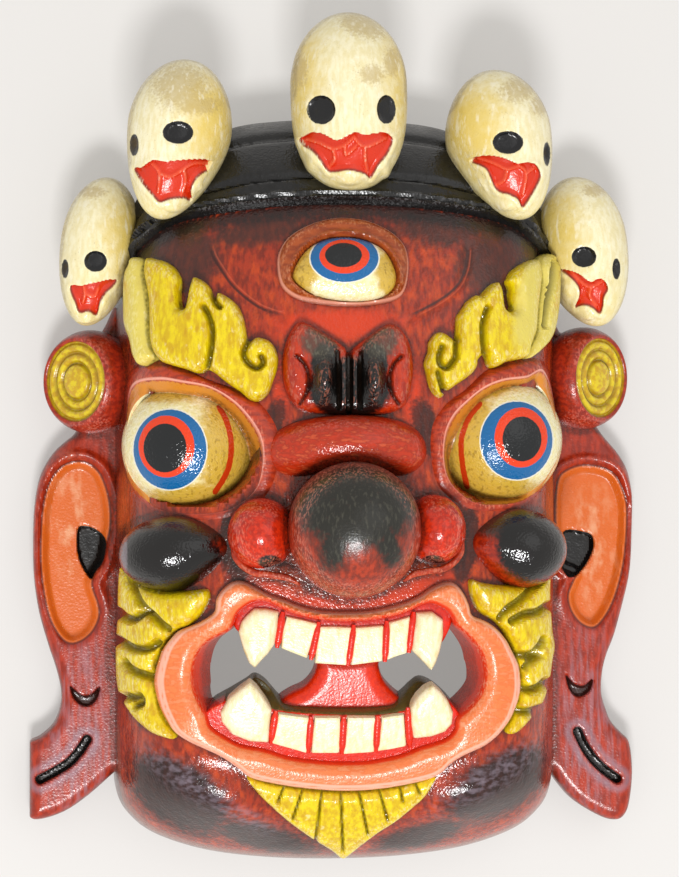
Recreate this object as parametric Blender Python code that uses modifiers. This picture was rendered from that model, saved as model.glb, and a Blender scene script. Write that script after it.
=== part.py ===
"""A carved and painted wooden mask: a wrathful three-eyed face under a crown with five skulls.

The mask is one piece of wood, hollow behind. It lies on its back rim, with the face up:
X runs across the face, Y from the chin to the crown, Z out of the face. The origin is under
the middle of the whole outline, on the plane that the rim rests on.

Each carved form is a closed body of its own. They are joined, melted into one skin by a
voxel remesh, thinned, and then the hollow, the mouth and the ear hollows are cut.
"""

import math

import bmesh
import bpy
import numpy as np
from mathutils import Euler, Matrix, Vector

# The face block, in metres
FACE_WIDTH = 0.174
FACE_HEIGHT = 0.292
FACE_DEPTH = 0.076
FACE_MIDDLE_Y = -0.019
SIDE_SQUARENESS = 4.0
TOP_ROUNDNESS = 2.5

# How far out, as a share of the way to the outline, carving lies before it meets the side wall
WALL_START = 0.985

# The hollow behind the face, and the wood left round it
WALL = 0.013
HOLLOW_DEPTH = 0.052
HOLLOW_SQUARENESS = 3.0

# The crown band and its skulls
CROWN_THICKNESS = 0.003
CROWN_RIDGE_WIDTH = 0.0044
SKULL_HEIGHTS = (0.070, 0.061, 0.056)
SKULL_WIDTH_SHARE = 0.64
SKULL_DEPTH_SHARE = 0.66
SOCKET_DEPTH = 0.0030
SKULL_MOUTH_DEPTH = 0.0045

# The nose, the eyes and the cheeks
NOSE_WIDTH = 0.049
NOSE_TIP_HEIGHT = 0.116
EYE_RADIUS = 0.027
LID_THICKNESS = 0.006
CHEEK_LENGTH = 0.042
BROW_THICKNESS = 0.0065
BEARD_THICKNESS = 0.006
ROOT_DEPTH = 0.006

# The mouth
LIP_WIDTH = 0.011
TOOTH_WIDTH = 0.0107
TOOTH_GAP = 0.0023
TOOTH_HEIGHT = 0.0145
FANG_WIDTH = 0.0150
MOUTH_FLOOR_SHARE = 0.80
MOUTH_GAP_WIDTH = 0.044
MOUTH_GAP_HEIGHT = 0.025

# The ears and the round ear studs
EAR_SPAN = 0.240
EAR_THICKNESS = 0.012
EAR_LIFT = 0.006
CONCHA_DEPTH = 0.005
EAR_SLIT_WIDTH = 0.0038
EAR_SLIT_DEPTH = 0.004
STUD_DIAMETER = 0.034
STUD_LENGTH = 0.016
STUD_GROOVE = 0.0010
STUD_TURN = 45

# How finely the skin is melted together, how many triangles are kept, and two small distances:
# for the welding of points that lie on each other and for the measuring of a slope
SKIN_CELL = 0.0018
SKIN_TRIANGLES = 7700
WELD_DISTANCE = 0.00002
SLOPE_STEP = 0.0006

# Half of the face's outline from the crown's top to the chin, as shares of half its width and
# half its height
FACE_OUTLINE = (
    (0.00, 1.000),
    (0.25, 0.995),
    (0.48, 0.975),
    (0.70, 0.915),
    (0.86, 0.820),
    (0.945, 0.715),
    (0.98, 0.600),
    (1.00, 0.400),
    (1.00, 0.000),
    (1.00, -0.400),
    (1.00, -0.700),
    (0.985, -0.815),
    (0.920, -0.880),
    (0.80, -0.930),
    (0.58, -0.972),
    (0.30, -0.994),
    (0.00, -1.000),
)

# The height of the face along its middle line, from the chin to the crown: the place as a share
# of half the face's height, and the height as a share of the face's depth
FACE_PROFILE = (
    (-1.00, 0.84),
    (-0.80, 0.90),
    (-0.45, 0.97),
    (0.00, 1.00),
    (0.40, 0.98),
    (0.80, 0.92),
    (1.00, 0.86),
)

# Half of the line round the mouth that the lips follow, as shares like those of the outline
LIP_LINE = (
    (0.000, -0.305),
    (0.250, -0.290),
    (0.460, -0.242),
    (0.600, -0.315),
    (0.735, -0.410),
    (0.755, -0.520),
    (0.700, -0.630),
    (0.530, -0.715),
    (0.280, -0.755),
    (0.000, -0.765),
)

# The lobes of the right brow and the curls of the right half of the beard: the middle, half the
# width and half the length as shares of half the face's width and height, and the turn in degrees
BROW_LOBES = (
    (0.955, 0.430, 0.063, 0.130, 2),
    (0.830, 0.440, 0.098, 0.147, 4),
    (0.690, 0.430, 0.086, 0.113, 10),
    (0.655, 0.330, 0.126, 0.075, 0),
    (0.560, 0.395, 0.092, 0.113, 14),
    (0.480, 0.330, 0.098, 0.103, 34),
    (0.375, 0.310, 0.103, 0.072, 0),
    (0.410, 0.250, 0.080, 0.082, 30),
)
BEARD_CURLS = (
    (0.800, -0.325, 0.184, 0.068, 0),
    (0.905, -0.440, 0.075, 0.137, 0),
    (0.880, -0.560, 0.098, 0.116, 18),
    (0.800, -0.640, 0.069, 0.062, 40),
)

# The skulls on the right shoulder and the right side of the crown: the middle as shares of half
# the face's width, half its height and its depth, and the yaw, lean and roll in degrees
MIDDLE_SKULL = (0.012, 1.070, 0.74, 0, 10, 0)
SHOULDER_SKULL = (0.710, 0.985, 0.72, 32, 16, 6)
SIDE_SKULL = (1.085, 0.672, 0.42, 30, 14, 4)

# Half of an ear's outline, from its root at the crown down to its lobe, as shares of half the
# span of the ears and of half the face's height
EAR_OUTLINE = (
    (0.680, 0.470),
    (0.800, 0.465),
    (0.895, 0.400),
    (0.925, 0.310),
    (0.900, 0.220),
    (0.862, 0.160),
    (0.900, 0.135),
    (0.955, 0.060),
    (0.985, -0.040),
    (0.988, -0.200),
    (0.960, -0.360),
    (0.915, -0.470),
    (0.893, -0.545),
    (0.905, -0.620),
    (0.950, -0.675),
    (0.990, -0.715),
    (1.000, -0.790),
    (0.985, -0.870),
    (0.950, -0.900),
    (0.870, -0.870),
    (0.770, -0.800),
    (0.690, -0.745),
)


def across(share):
    return share * FACE_WIDTH / 2


def up(share):
    return FACE_MIDDLE_Y + share * FACE_HEIGHT / 2


def smooth_loop(corners, steps):
    """A closed smooth curve through the corners, as an array of points."""
    corners = np.asarray(corners, float)
    before, after = np.roll(corners, 1, axis=0), np.roll(corners, -1, axis=0)
    beyond = np.roll(corners, -2, axis=0)
    points = []
    for t in np.linspace(0, 1, steps, endpoint=False):
        points.append(
            0.5
            * (
                2 * corners
                + (after - before) * t
                + (2 * before - 5 * corners + 4 * after - beyond) * t**2
                + (3 * corners - before - 3 * after + beyond) * t**3
            )
        )
    return np.stack(points, axis=1).reshape(-1, corners.shape[1])


def mirrored_loop(half):
    """A closed loop from one half of it, whose first and last points lie on the middle line."""
    return list(half) + [(-x, y) for x, y in reversed(half[1:-1])]


FACE_LOOP = smooth_loop(mirrored_loop(FACE_OUTLINE), 8)
LOOP_ANGLES = np.arctan2(FACE_LOOP[:, 1], FACE_LOOP[:, 0])
LOOP_ORDER = np.argsort(LOOP_ANGLES)
LOOP_RADII = np.hypot(FACE_LOOP[:, 0], FACE_LOOP[:, 1])


def reach(x_share, y_share):
    """How far a point lies from the middle of the face, as a share of the way to its outline."""
    angle = np.arctan2(y_share, x_share)
    edge = np.interp(
        angle, LOOP_ANGLES[LOOP_ORDER], LOOP_RADII[LOOP_ORDER], period=2 * math.pi
    )
    return np.hypot(x_share, y_share) / edge


def crest(y_share):
    """The height of the face along its middle line, before the carving, as a share of its depth."""
    places, heights = zip(*FACE_PROFILE)
    return np.interp(y_share, places, heights)


def face_height(x, y):
    """The height of the uncarved face block over the rim's plane."""
    x_share = np.asarray(x) / (FACE_WIDTH / 2)
    y_share = (np.asarray(y) - FACE_MIDDLE_Y) / (FACE_HEIGHT / 2)
    out = np.clip(reach(x_share, y_share), 0, 1)
    return FACE_DEPTH * crest(y_share) * (1 - out**SIDE_SQUARENESS) ** (1 / TOP_ROUNDNESS)


def face_normal(x, y):
    """The direction that the uncarved face block looks in at a place, as rows of X, Y, Z."""
    step = SLOPE_STEP
    slope_x = (face_height(x + step, y) - face_height(x - step, y)) / (2 * step)
    slope_y = (face_height(x, y + step) - face_height(x, y - step)) / (2 * step)
    normal = np.stack([-slope_x, -slope_y, np.ones_like(slope_x)], axis=-1)
    return normal / np.linalg.norm(normal, axis=-1, keepdims=True)


def ease(value):
    """A smooth step from 0 to 1."""
    value = np.clip(value, 0, 1)
    return value * value * (3 - 2 * value)


def crown_edge(x_share):
    """Where the crown's lower edge crosses the face, as a share of half the face's height."""
    side = np.abs(x_share)
    return 0.750 - 0.082 * side**2 - 0.200 * side**12


def mesh_points(mesh):
    points = np.empty(len(mesh.vertices) * 3)
    mesh.vertices.foreach_get("co", points)
    return points.reshape(-1, 3)


def reshape(mesh, points):
    mesh.vertices.foreach_set("co", np.asarray(points, np.float32).ravel())
    mesh.update()
    return mesh


def ball(segments=28, rings=18):
    """A ball of radius 1, to be shaped."""
    mesh = bpy.data.meshes.new("ball")
    shape = bmesh.new()
    bmesh.ops.create_uvsphere(shape, u_segments=segments, v_segments=rings, radius=1)
    shape.to_mesh(mesh)
    shape.free()
    return mesh


def egg(centre, radii, turn=(0, 0, 0), segments=28, rings=18):
    """A ball stretched to three radii, turned in degrees about X, Y and Z, and put in its place."""
    mesh = ball(segments, rings)
    mesh.transform(Matrix.Diagonal((*radii, 1)))
    mesh.transform(Euler([math.radians(angle) for angle in turn]).to_matrix().to_4x4())
    mesh.transform(Matrix.Translation(centre))
    return mesh


def both_sides(make, *places):
    """Forms on the right side of the face and their mirror images on the left, one a place."""
    return [make(side, *place) for side in (1, -1) for place in places or ((),)]


def laid(mesh, x, y, lift):
    """A mesh laid on the face block, each point lifted along the way that the block looks there."""
    x_share, y_share = x / (FACE_WIDTH / 2), (y - FACE_MIDDLE_Y) / (FACE_HEIGHT / 2)
    pull = np.minimum(1, WALL_START / np.maximum(reach(x_share, y_share), 0.01))
    x, y = across(x_share * pull), up(y_share * pull)
    points = np.stack([x, y, face_height(x, y)], axis=1) + face_normal(x, y) * lift[:, None]
    return reshape(mesh, points)


def petal(x_share, y_share, half_width, half_length, turn, rise):
    """A flat-topped lobe that lies on the face block and stands proud of it by its rise."""
    mesh = ball(40, 24)
    unit = mesh_points(mesh)
    cos, sin = math.cos(math.radians(turn)), math.sin(math.radians(turn))
    wide, long = unit[:, 0] * across(half_width), unit[:, 1] * half_length * FACE_HEIGHT / 2
    x = across(x_share) + wide * cos - long * sin
    y = up(y_share) + wide * sin + long * cos
    lift = np.sign(unit[:, 2]) * np.abs(unit[:, 2]) ** 0.45
    return laid(mesh, x, y, np.where(lift > 0, lift * rise, lift * ROOT_DEPTH))


def block(offset_of):
    """The face block, grown or sunk by an offset that depends on the place."""
    mesh = ball(160, 96)
    unit = mesh_points(mesh)
    out = np.hypot(unit[:, 0], unit[:, 1])
    angle = np.arctan2(unit[:, 1], unit[:, 0])
    edge = np.interp(
        angle, LOOP_ANGLES[LOOP_ORDER], LOOP_RADII[LOOP_ORDER], period=2 * math.pi
    )
    x_share, y_share = out * edge * np.cos(angle), out * edge * np.sin(angle)
    x, y = across(x_share), up(y_share)
    offset = offset_of(x_share, y_share)
    grow_x, grow_y = 1 + offset / (FACE_WIDTH / 2), 1 + offset / (FACE_HEIGHT / 2)
    top = face_height(x, y) + offset
    z = np.where(unit[:, 2] > 0, top, unit[:, 2] * WALL)
    grown = [x * grow_x, FACE_MIDDLE_Y + (y - FACE_MIDDLE_Y) * grow_y, z]
    return reshape(mesh, np.stack(grown, axis=1))


def mouth_recess(x_share, y_share):
    """How deep the wood is cut back inside the lips."""
    away = np.hypot(x_share / 0.74, (y_share + 0.52) / 0.26)
    return -FACE_DEPTH * (0.97 - MOUTH_FLOOR_SHARE) * (1 - ease((away - 0.8) / 0.3))


def crown_offset(x_share, y_share):
    """Proud of the face above the crown's edge, and buried ever deeper in it below."""
    above = y_share - crown_edge(x_share)
    buried = WALL * ease((-above - 0.05) / 0.3)
    return CROWN_THICKNESS * (2 * ease(above / 0.012 + 0.5) - 1) - buried


def curve_mesh(points, radius=None, thickness=None, edge=0.0, closed=False, fine=2):
    """A round bar along the points, or a flat plate inside them, as a closed mesh."""
    curve = bpy.data.curves.new("curve", "CURVE")
    curve.dimensions = "3D" if radius else "2D"
    if radius:
        curve.bevel_depth = radius
        curve.use_fill_caps = True
    else:
        curve.fill_mode = "BOTH"
        curve.extrude = thickness / 2 - edge
        curve.bevel_depth = edge
        curve.offset = -edge
    curve.bevel_resolution = fine
    spline = curve.splines.new("POLY")
    spline.points.add(len(points) - 1)
    for point, place in zip(spline.points, points):
        point.co = (place[0], place[1], place[2] if len(place) > 2 else 0, 1)
    spline.use_cyclic_u = closed or not radius
    guide = bpy.data.objects.new("guide", curve)
    bpy.context.scene.collection.objects.link(guide)
    bpy.context.view_layer.update()
    evaluated = guide.evaluated_get(bpy.context.evaluated_depsgraph_get())
    mesh = bpy.data.meshes.new_from_object(evaluated)
    shape = bmesh.new()
    shape.from_mesh(mesh)
    bmesh.ops.remove_doubles(shape, verts=shape.verts, dist=WELD_DISTANCE)
    bmesh.ops.recalc_face_normals(shape, faces=shape.faces)
    shape.to_mesh(mesh)
    shape.free()
    bpy.data.objects.remove(guide)
    return mesh


def on_face(x_share, y_share, proud=0.0):
    """A point on the face block, or proud of it."""
    x, y = across(x_share), up(y_share)
    return Vector((x, y, float(face_height(x, y)) + proud))


def crown():
    """The black band above the forehead, with the round ridge along its lower edge."""
    shares = np.linspace(-0.97, 0.97, 49)
    ridge = [on_face(x, float(crown_edge(x)) - 0.004, CROWN_THICKNESS * 0.4) for x in shares]
    return [block(crown_offset), curve_mesh(ridge, radius=CROWN_RIDGE_WIDTH / 2)]


def skull(side, height, x_share, y_share, z_share, yaw, lean, roll):
    """An egg-shaped skull with its sockets and its mouth pressed in, facing along its own +Z."""
    mesh = ball(64, 48)
    unit = mesh_points(mesh)
    half_width = height * SKULL_WIDTH_SHARE / 2
    half_depth = height * SKULL_DEPTH_SHARE / 2
    crown_part, jaw_part = 0.40 * height, 0.60 * height
    low = np.clip(-unit[:, 1], 0, 1)
    x = unit[:, 0] * half_width * (1 + 0.10 * np.sin(low * math.pi))
    y = np.where(unit[:, 1] > 0, unit[:, 1] * crown_part, unit[:, 1] * jaw_part)
    z = unit[:, 2] * half_depth * (1 + 0.06 * np.sin(low * math.pi))
    points = np.stack([x, y, z], axis=1)
    direction = points / np.linalg.norm(points, axis=1)[:, None]
    depth = np.zeros(len(points))
    for azimuth in (-33, 33):
        socket = np.array([math.sin(math.radians(azimuth)), -0.42, math.cos(math.radians(azimuth))])
        socket /= np.linalg.norm(socket)
        near = np.linalg.norm(direction - socket, axis=1)
        depth += SOCKET_DEPTH * (1 - ease((near - 0.12) / 0.12))
    front = unit[:, 2] > 0.1
    bow = 0.86 + 0.30 * np.abs(direction[:, 0])
    in_mouth = ease(1.6 - np.abs(direction[:, 1] + bow) / 0.11) * ease(1.5 - np.abs(direction[:, 0]) / 0.42)
    depth += SKULL_MOUTH_DEPTH * in_mouth * front
    points -= direction * depth[:, None]
    reshape(mesh, points)
    turn = Euler([math.radians(angle) for angle in (-lean, side * yaw, -side * roll)])
    mesh.transform(turn.to_matrix().to_4x4())
    mesh.transform(Matrix.Translation((side * across(x_share), up(y_share), FACE_DEPTH * z_share)))
    return mesh


def skulls():
    """Five skulls: one over the forehead, two on the crown's shoulders, two on its sides."""
    middle, shoulder, outer = SKULL_HEIGHTS
    forms = both_sides(skull, (shoulder, *SHOULDER_SKULL), (outer, *SIDE_SKULL))
    return forms + [skull(1, middle, *MIDDLE_SKULL)]


def lobe(side, x_share, y_share, half_width, half_length, turn):
    """One upright lobe of a brow."""
    return petal(side * x_share, y_share, half_width, half_length, side * turn, BROW_THICKNESS)


def brows():
    """Each brow is a row of upright lobes that ends in a curl beside the nose."""
    return both_sides(lobe, *BROW_LOBES)


def eyes():
    """Bulging eyeballs that look outwards, each under a lid that rises all round it."""
    eye_x, eye_y, eye_z = across(0.655), up(0.128), FACE_DEPTH * 0.69
    forms = both_sides(lambda side: egg((side * eye_x, eye_y, eye_z), (EYE_RADIUS,) * 3))
    for side in (1, -1):
        ring = []
        for angle in np.linspace(0, 2 * math.pi, 40, endpoint=False):
            out = Vector((math.cos(angle) * 0.90, math.sin(angle) * 0.86, 0.34))
            out = Euler((0, math.radians(side * 18), 0)).to_matrix() @ out
            ring.append(Vector((side * eye_x, eye_y, eye_z)) + out * EYE_RADIUS)
        forms.append(curve_mesh(ring, radius=LID_THICKNESS / 2, closed=True))
    third_lid = petal(-0.010, 0.605, 0.285, 0.108, 0, LID_THICKNESS * 0.8)
    third_ball = petal(-0.005, 0.595, 0.225, 0.086, 0, LID_THICKNESS * 1.4)
    return forms + [third_lid, third_ball]


def sized(part, *shares):
    """Three radii as shares of one size of the part that they belong to."""
    return [part * share for share in shares]


def nose():
    """Frown lumps, the roll across the bridge, the round tip and the two nostril wings."""
    tip_radius = NOSE_WIDTH / 2
    forms = [
        egg((0, up(0.105), FACE_DEPTH * 1.02), sized(NOSE_WIDTH, 0.613, 0.235, 0.255)),
        egg((0, up(-0.085), NOSE_TIP_HEIGHT - tip_radius), (tip_radius,) * 3),
        egg((0, up(0.300), FACE_DEPTH * 1.00), sized(NOSE_WIDTH, 0.071, 0.408, 0.204)),
        egg((0, up(0.460), FACE_DEPTH * 0.955), sized(NOSE_WIDTH, 0.391, 0.245, 0.102)),
    ]
    folds = (
        (0.115, 0.285, 1.01, sized(NOSE_WIDTH, 0.133, 0.316, 0.224), 8),
        (0.215, 0.290, 0.98, sized(NOSE_WIDTH, 0.092, 0.306, 0.163), 12),
        (0.390, -0.092, 1.07, sized(NOSE_WIDTH, 0.225, 0.259, 0.270), 0),
    )
    return forms + both_sides(fold, *folds)


def fold(side, x_share, y_share, z_share, radii, turn):
    """One rounded fold of the face, turned about Z."""
    centre = (side * across(x_share), up(y_share), FACE_DEPTH * z_share)
    return egg(centre, radii, (0, 0, side * turn))


def cheek(side):
    """The glossy bulb under an eye, tilted outwards."""
    centre = (side * across(0.745), up(-0.145), FACE_DEPTH * 0.86)
    return egg(centre, sized(CHEEK_LENGTH, 0.5, 0.345, 0.38), (0, side * 24, 0))


def cheeks():
    """A glossy bulb under each eye, and the swelling of the jaw beside the chin."""
    jaw = (0.530, -0.800, 0.56, (across(0.390), FACE_HEIGHT * 0.072, FACE_DEPTH * 0.263), 22)
    return both_sides(cheek) + both_sides(fold, jaw)


def curl(side, x_share, y_share, half_width, half_length, turn):
    """One curl of the beard beside the mouth."""
    return petal(side * x_share, y_share, half_width, half_length, side * turn, BEARD_THICKNESS)


def tuft():
    """The pointed tuft on the chin, widest under the lip."""
    mesh = ball(40, 24)
    unit = mesh_points(mesh)
    top, tip = up(-0.745), up(-0.985)
    down = (1 - unit[:, 1]) / 2
    girth = np.sqrt(np.clip(1 - unit[:, 1] ** 2, 1e-6, 1))
    x = unit[:, 0] * girth**-0.85 * across(0.42) * np.clip(1 - down, 0, 1) ** 0.8
    lift = np.sign(unit[:, 2]) * np.abs(unit[:, 2]) ** 0.5 * BEARD_THICKNESS * 1.4
    return laid(mesh, x, top + (tip - top) * down, lift)


def beard():
    """A row of curls beside each corner of the mouth, and the tuft on the chin."""
    return both_sides(curl, *BEARD_CURLS) + [tuft()]


def mouth():
    """Thick lips round the mouth, two rows of teeth with fangs, and the tongue between them."""
    loop = smooth_loop(mirrored_loop(LIP_LINE), 5)
    inside = [(x * 0.925, max(y, -0.50 + (y + 0.50) * 0.95)) for x, y in loop]
    forms = []
    for ring, proud in ((loop, 0.05), (inside, -0.09)):
        path = [on_face(x, y, LIP_WIDTH * proud) for x, y in ring]
        forms.append(curve_mesh(path, radius=LIP_WIDTH / 2, closed=True, fine=3))
    floor = FACE_DEPTH * MOUTH_FLOOR_SHARE
    pitch = TOOTH_WIDTH + TOOTH_GAP
    for row_y, proud in ((up(-0.385), 1.0), (up(-0.645), 0.85)):
        for place in (-1.5, -0.5, 0.5, 1.5):
            forms.append(tooth(place * pitch, row_y, floor, proud))
    fang_x = 2 * pitch + FANG_WIDTH / 2
    for side in (1, -1):
        forms.append(fang(side * fang_x, up(-0.330), up(-0.450), floor))
        forms.append(fang(side * fang_x, up(-0.680), up(-0.490), floor))
    tongue = sized(TOOTH_HEIGHT, 0.99, 1.24, 0.62)
    gum = sized(TOOTH_HEIGHT, 3.2, 0.62, 0.83)
    forms.append(egg((0, up(-0.510), floor), tongue))
    forms.append(egg((0, up(-0.345), floor - TOOTH_HEIGHT * 0.28), gum))
    forms.append(egg((0, up(-0.690), floor - TOOTH_HEIGHT * 0.28), gum))
    return forms


def tooth(x, y, floor, proud):
    """A square front tooth with soft corners."""
    mesh = ball(24, 16)
    unit = mesh_points(mesh)
    boxy = np.sign(unit) * np.abs(unit) ** 0.45
    half = np.array([TOOTH_WIDTH / 2, TOOTH_WIDTH * 0.66, TOOTH_HEIGHT * proud])
    return reshape(mesh, boxy * half + np.array([x, y, floor]))


def fang(x, root_y, tip_y, floor):
    """A long eye tooth that narrows from its root to its tip."""
    mesh = ball(24, 24)
    unit = mesh_points(mesh)
    along = (unit[:, 1] + 1) / 2
    girth = np.sqrt(np.clip(1 - unit[:, 1] ** 2, 1e-4, 1))
    taper = girth**-0.75 * (1.1 - 0.9 * along)
    y = root_y + (tip_y - root_y) * along
    wide = x + unit[:, 0] * FANG_WIDTH / 2 * taper
    high = floor + TOOTH_HEIGHT * 0.75 + unit[:, 2] * TOOTH_HEIGHT / 2 * taper
    reshape(mesh, np.stack([wide, y, high], axis=1))
    if tip_y < root_y:
        mesh.flip_normals()
    return mesh


def ears():
    """Flat long-lobed ears that reach up to the crown, each with a round stud at the top."""
    forms = []
    for side in (1, -1):
        outline = [(side * x * EAR_SPAN / 2, up(y)) for x, y in smooth_loop(EAR_OUTLINE, 4)]
        plate = curve_mesh(outline, thickness=EAR_THICKNESS, edge=EAR_THICKNESS * 0.2)
        plate.transform(Matrix.Translation((0, 0, EAR_LIFT + EAR_THICKNESS / 2)))
        forms.append(plate)
        forms.append(stud(side))
    return forms


def stud(side):
    """A drum with a dished face that looks outwards, turned from its profile."""
    radius = STUD_DIAMETER / 2
    profile = (
        (0.0, -STUD_LENGTH),
        (radius * 0.92, -STUD_LENGTH),
        (radius, -STUD_LENGTH * 0.3),
        (radius, 0.0),
        (radius * 0.86, STUD_GROOVE * 1.2),
        (radius * 0.80, -STUD_GROOVE * 0.8),
        (radius * 0.60, STUD_GROOVE * 1.2),
        (radius * 0.42, -STUD_GROOVE * 0.8),
        (radius * 0.30, STUD_GROOVE * 1.4),
        (0.0, STUD_GROOVE * 2.2),
    )
    mesh = bpy.data.meshes.new("stud")
    shape = bmesh.new()
    verts = [shape.verts.new((r, 0, z)) for r, z in profile]
    edges = [shape.edges.new(pair) for pair in zip(verts, verts[1:])]
    bmesh.ops.spin(
        shape, geom=verts + edges, axis=(0, 0, 1), cent=(0, 0, 0), angle=2 * math.pi, steps=40
    )
    bmesh.ops.remove_doubles(shape, verts=shape.verts, dist=WELD_DISTANCE)
    bmesh.ops.recalc_face_normals(shape, faces=shape.faces)
    shape.to_mesh(mesh)
    shape.free()
    mesh.transform(Euler((0, math.radians(side * STUD_TURN), 0)).to_matrix().to_4x4())
    mesh.transform(Matrix.Translation((side * EAR_SPAN * 0.4330, up(0.303), FACE_DEPTH * 0.395)))
    return mesh


def hollow():
    """The space behind the face, a plainer block than the face, open at the back."""
    mesh = ball(40, 20)
    unit = mesh_points(mesh)
    out = np.hypot(unit[:, 0], unit[:, 1])
    angle = np.arctan2(unit[:, 1], unit[:, 0])
    edge = np.interp(
        angle, LOOP_ANGLES[LOOP_ORDER], LOOP_RADII[LOOP_ORDER], period=2 * math.pi
    )
    x = out * edge * np.cos(angle) * (FACE_WIDTH / 2 - WALL)
    y = FACE_MIDDLE_Y + out * edge * np.sin(angle) * (FACE_HEIGHT / 2 - WALL)
    roof = HOLLOW_DEPTH * (1 - np.clip(out, 0, 1) ** HOLLOW_SQUARENESS) ** (1 / 2)
    z = np.where(unit[:, 2] > 0, roof, unit[:, 2] * WALL)
    return reshape(mesh, np.stack([x, y, z], axis=1))


def mouth_gap(side):
    """The way through beside the tongue, from the hollow to the mouth."""
    mesh = ball(20, 12)
    unit = mesh_points(mesh)
    boxy = np.sign(unit) * np.abs(unit) ** 0.7
    floor = FACE_DEPTH * MOUTH_FLOOR_SHARE
    half_z = (floor - HOLLOW_DEPTH) / 2 + WALL
    top = floor + TOOTH_HEIGHT * 0.30
    middle = np.array([side * (TOOTH_WIDTH * 1.15 + MOUTH_GAP_WIDTH / 2), up(-0.480), top - half_z])
    half = np.array([MOUTH_GAP_WIDTH / 2, MOUTH_GAP_HEIGHT / 2, half_z])
    return reshape(mesh, boxy * half + middle)


def ear_cutters(side):
    """The scooped ear hollow, the small crescent under it and the slit in the lobe."""
    top = EAR_LIFT + EAR_THICKNESS
    scoop = egg(
        (side * EAR_SPAN * 0.425, up(-0.165), top + CONCHA_DEPTH * 0.2),
        (EAR_SPAN * 0.049, FACE_HEIGHT * 0.122, CONCHA_DEPTH * 1.2),
        segments=20,
        rings=10,
    )
    crescent = egg(
        (side * EAR_SPAN * 0.407, up(-0.540), top),
        (EAR_SPAN * 0.021, EAR_SLIT_WIDTH * 0.8, EAR_SLIT_DEPTH),
        segments=10,
        rings=6,
    )
    ends = ((0.404, -0.655), (0.425, -0.705), (0.452, -0.750), (0.480, -0.785))
    path = [Vector((side * EAR_SPAN * x, up(y), top)) for x, y in ends]
    slit = curve_mesh(path, radius=EAR_SLIT_WIDTH / 2, fine=0)
    return [scoop, crescent, slit]


def floor_block():
    """All that lies under the plane that the rim rests on."""
    mesh = bpy.data.meshes.new("floor")
    shape = bmesh.new()
    bmesh.ops.create_cube(shape, size=1)
    shape.to_mesh(mesh)
    shape.free()
    mesh.transform(Matrix.Diagonal((EAR_SPAN * 2, FACE_HEIGHT * 2, FACE_DEPTH, 1)))
    mesh.transform(Matrix.Translation((0, FACE_MIDDLE_Y, -FACE_DEPTH / 2)))
    return mesh


def joined(name, meshes, collection):
    """One object that holds all the closed bodies given."""
    whole = bmesh.new()
    for mesh in meshes:
        whole.from_mesh(mesh)
        bpy.data.meshes.remove(mesh)
    mesh = bpy.data.meshes.new(name)
    whole.to_mesh(mesh)
    whole.free()
    thing = bpy.data.objects.new(name, mesh)
    collection.objects.link(thing)
    return thing


def paint():
    """Red lacquer over wood, the colour of most of the face."""
    material = bpy.data.materials.new("red_lacquer_on_wood")
    material.use_nodes = True
    shader = material.node_tree.nodes["Principled BSDF"]
    shader.inputs["Base Color"].default_value = (0.50, 0.035, 0.020, 1)
    shader.inputs["Roughness"].default_value = 0.35
    shader.inputs["Metallic"].default_value = 0.0
    return material


def cutter(name, mesh, collection):
    thing = joined(name, [mesh], collection)
    thing.display_type = "WIRE"
    thing.hide_render = True
    return thing


def in_order(mesh):
    """A skin of quads with its points, faces and edges in one fixed order. A remesh gives them in
    any order, and the thinning would then keep other triangles each time."""
    points = mesh_points(mesh)
    order = np.lexsort(points.T)
    rank = np.argsort(order)
    corners = np.empty(len(mesh.loops), np.int32)
    mesh.loops.foreach_get("vertex_index", corners)
    quads = rank[corners].reshape(-1, 4)
    start = np.argmin(quads, axis=1)[:, None]
    quads = np.take_along_axis(quads, (start + np.arange(4)) % 4, axis=1)
    quads = quads[np.lexsort(quads.T)]
    skin = bpy.data.meshes.new(mesh.name)
    skin.from_pydata(points[order], [], quads)
    skin.materials.append(mesh.materials[0])
    shape = bmesh.new()
    shape.from_mesh(skin)
    shape.edges.sort(key=lambda edge: edge_rank(edge, len(points)))
    shape.to_mesh(skin)
    shape.free()
    return skin


def edge_rank(edge, count):
    """A number of its own for each edge between two of so many points."""
    low, high = sorted(vertex.index for vertex in edge.verts)
    return low * count + high


def melted(thing):
    """Overlapping bodies melted into one skin, then thinned to the triangles that are kept."""
    remesh = thing.modifiers.new("one skin", "REMESH")
    remesh.mode = "VOXEL"
    remesh.voxel_size = SKIN_CELL
    bpy.context.view_layer.update()
    evaluated = thing.evaluated_get(bpy.context.evaluated_depsgraph_get())
    skin = in_order(bpy.data.meshes.new_from_object(evaluated))
    thing.modifiers.remove(remesh)
    thing.data = skin
    thinner = thing.modifiers.new("thinner", "DECIMATE")
    thinner.ratio = min(1, SKIN_TRIANGLES / (2 * len(skin.polygons)))
    thinner.use_collapse_triangulate = True


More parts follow.
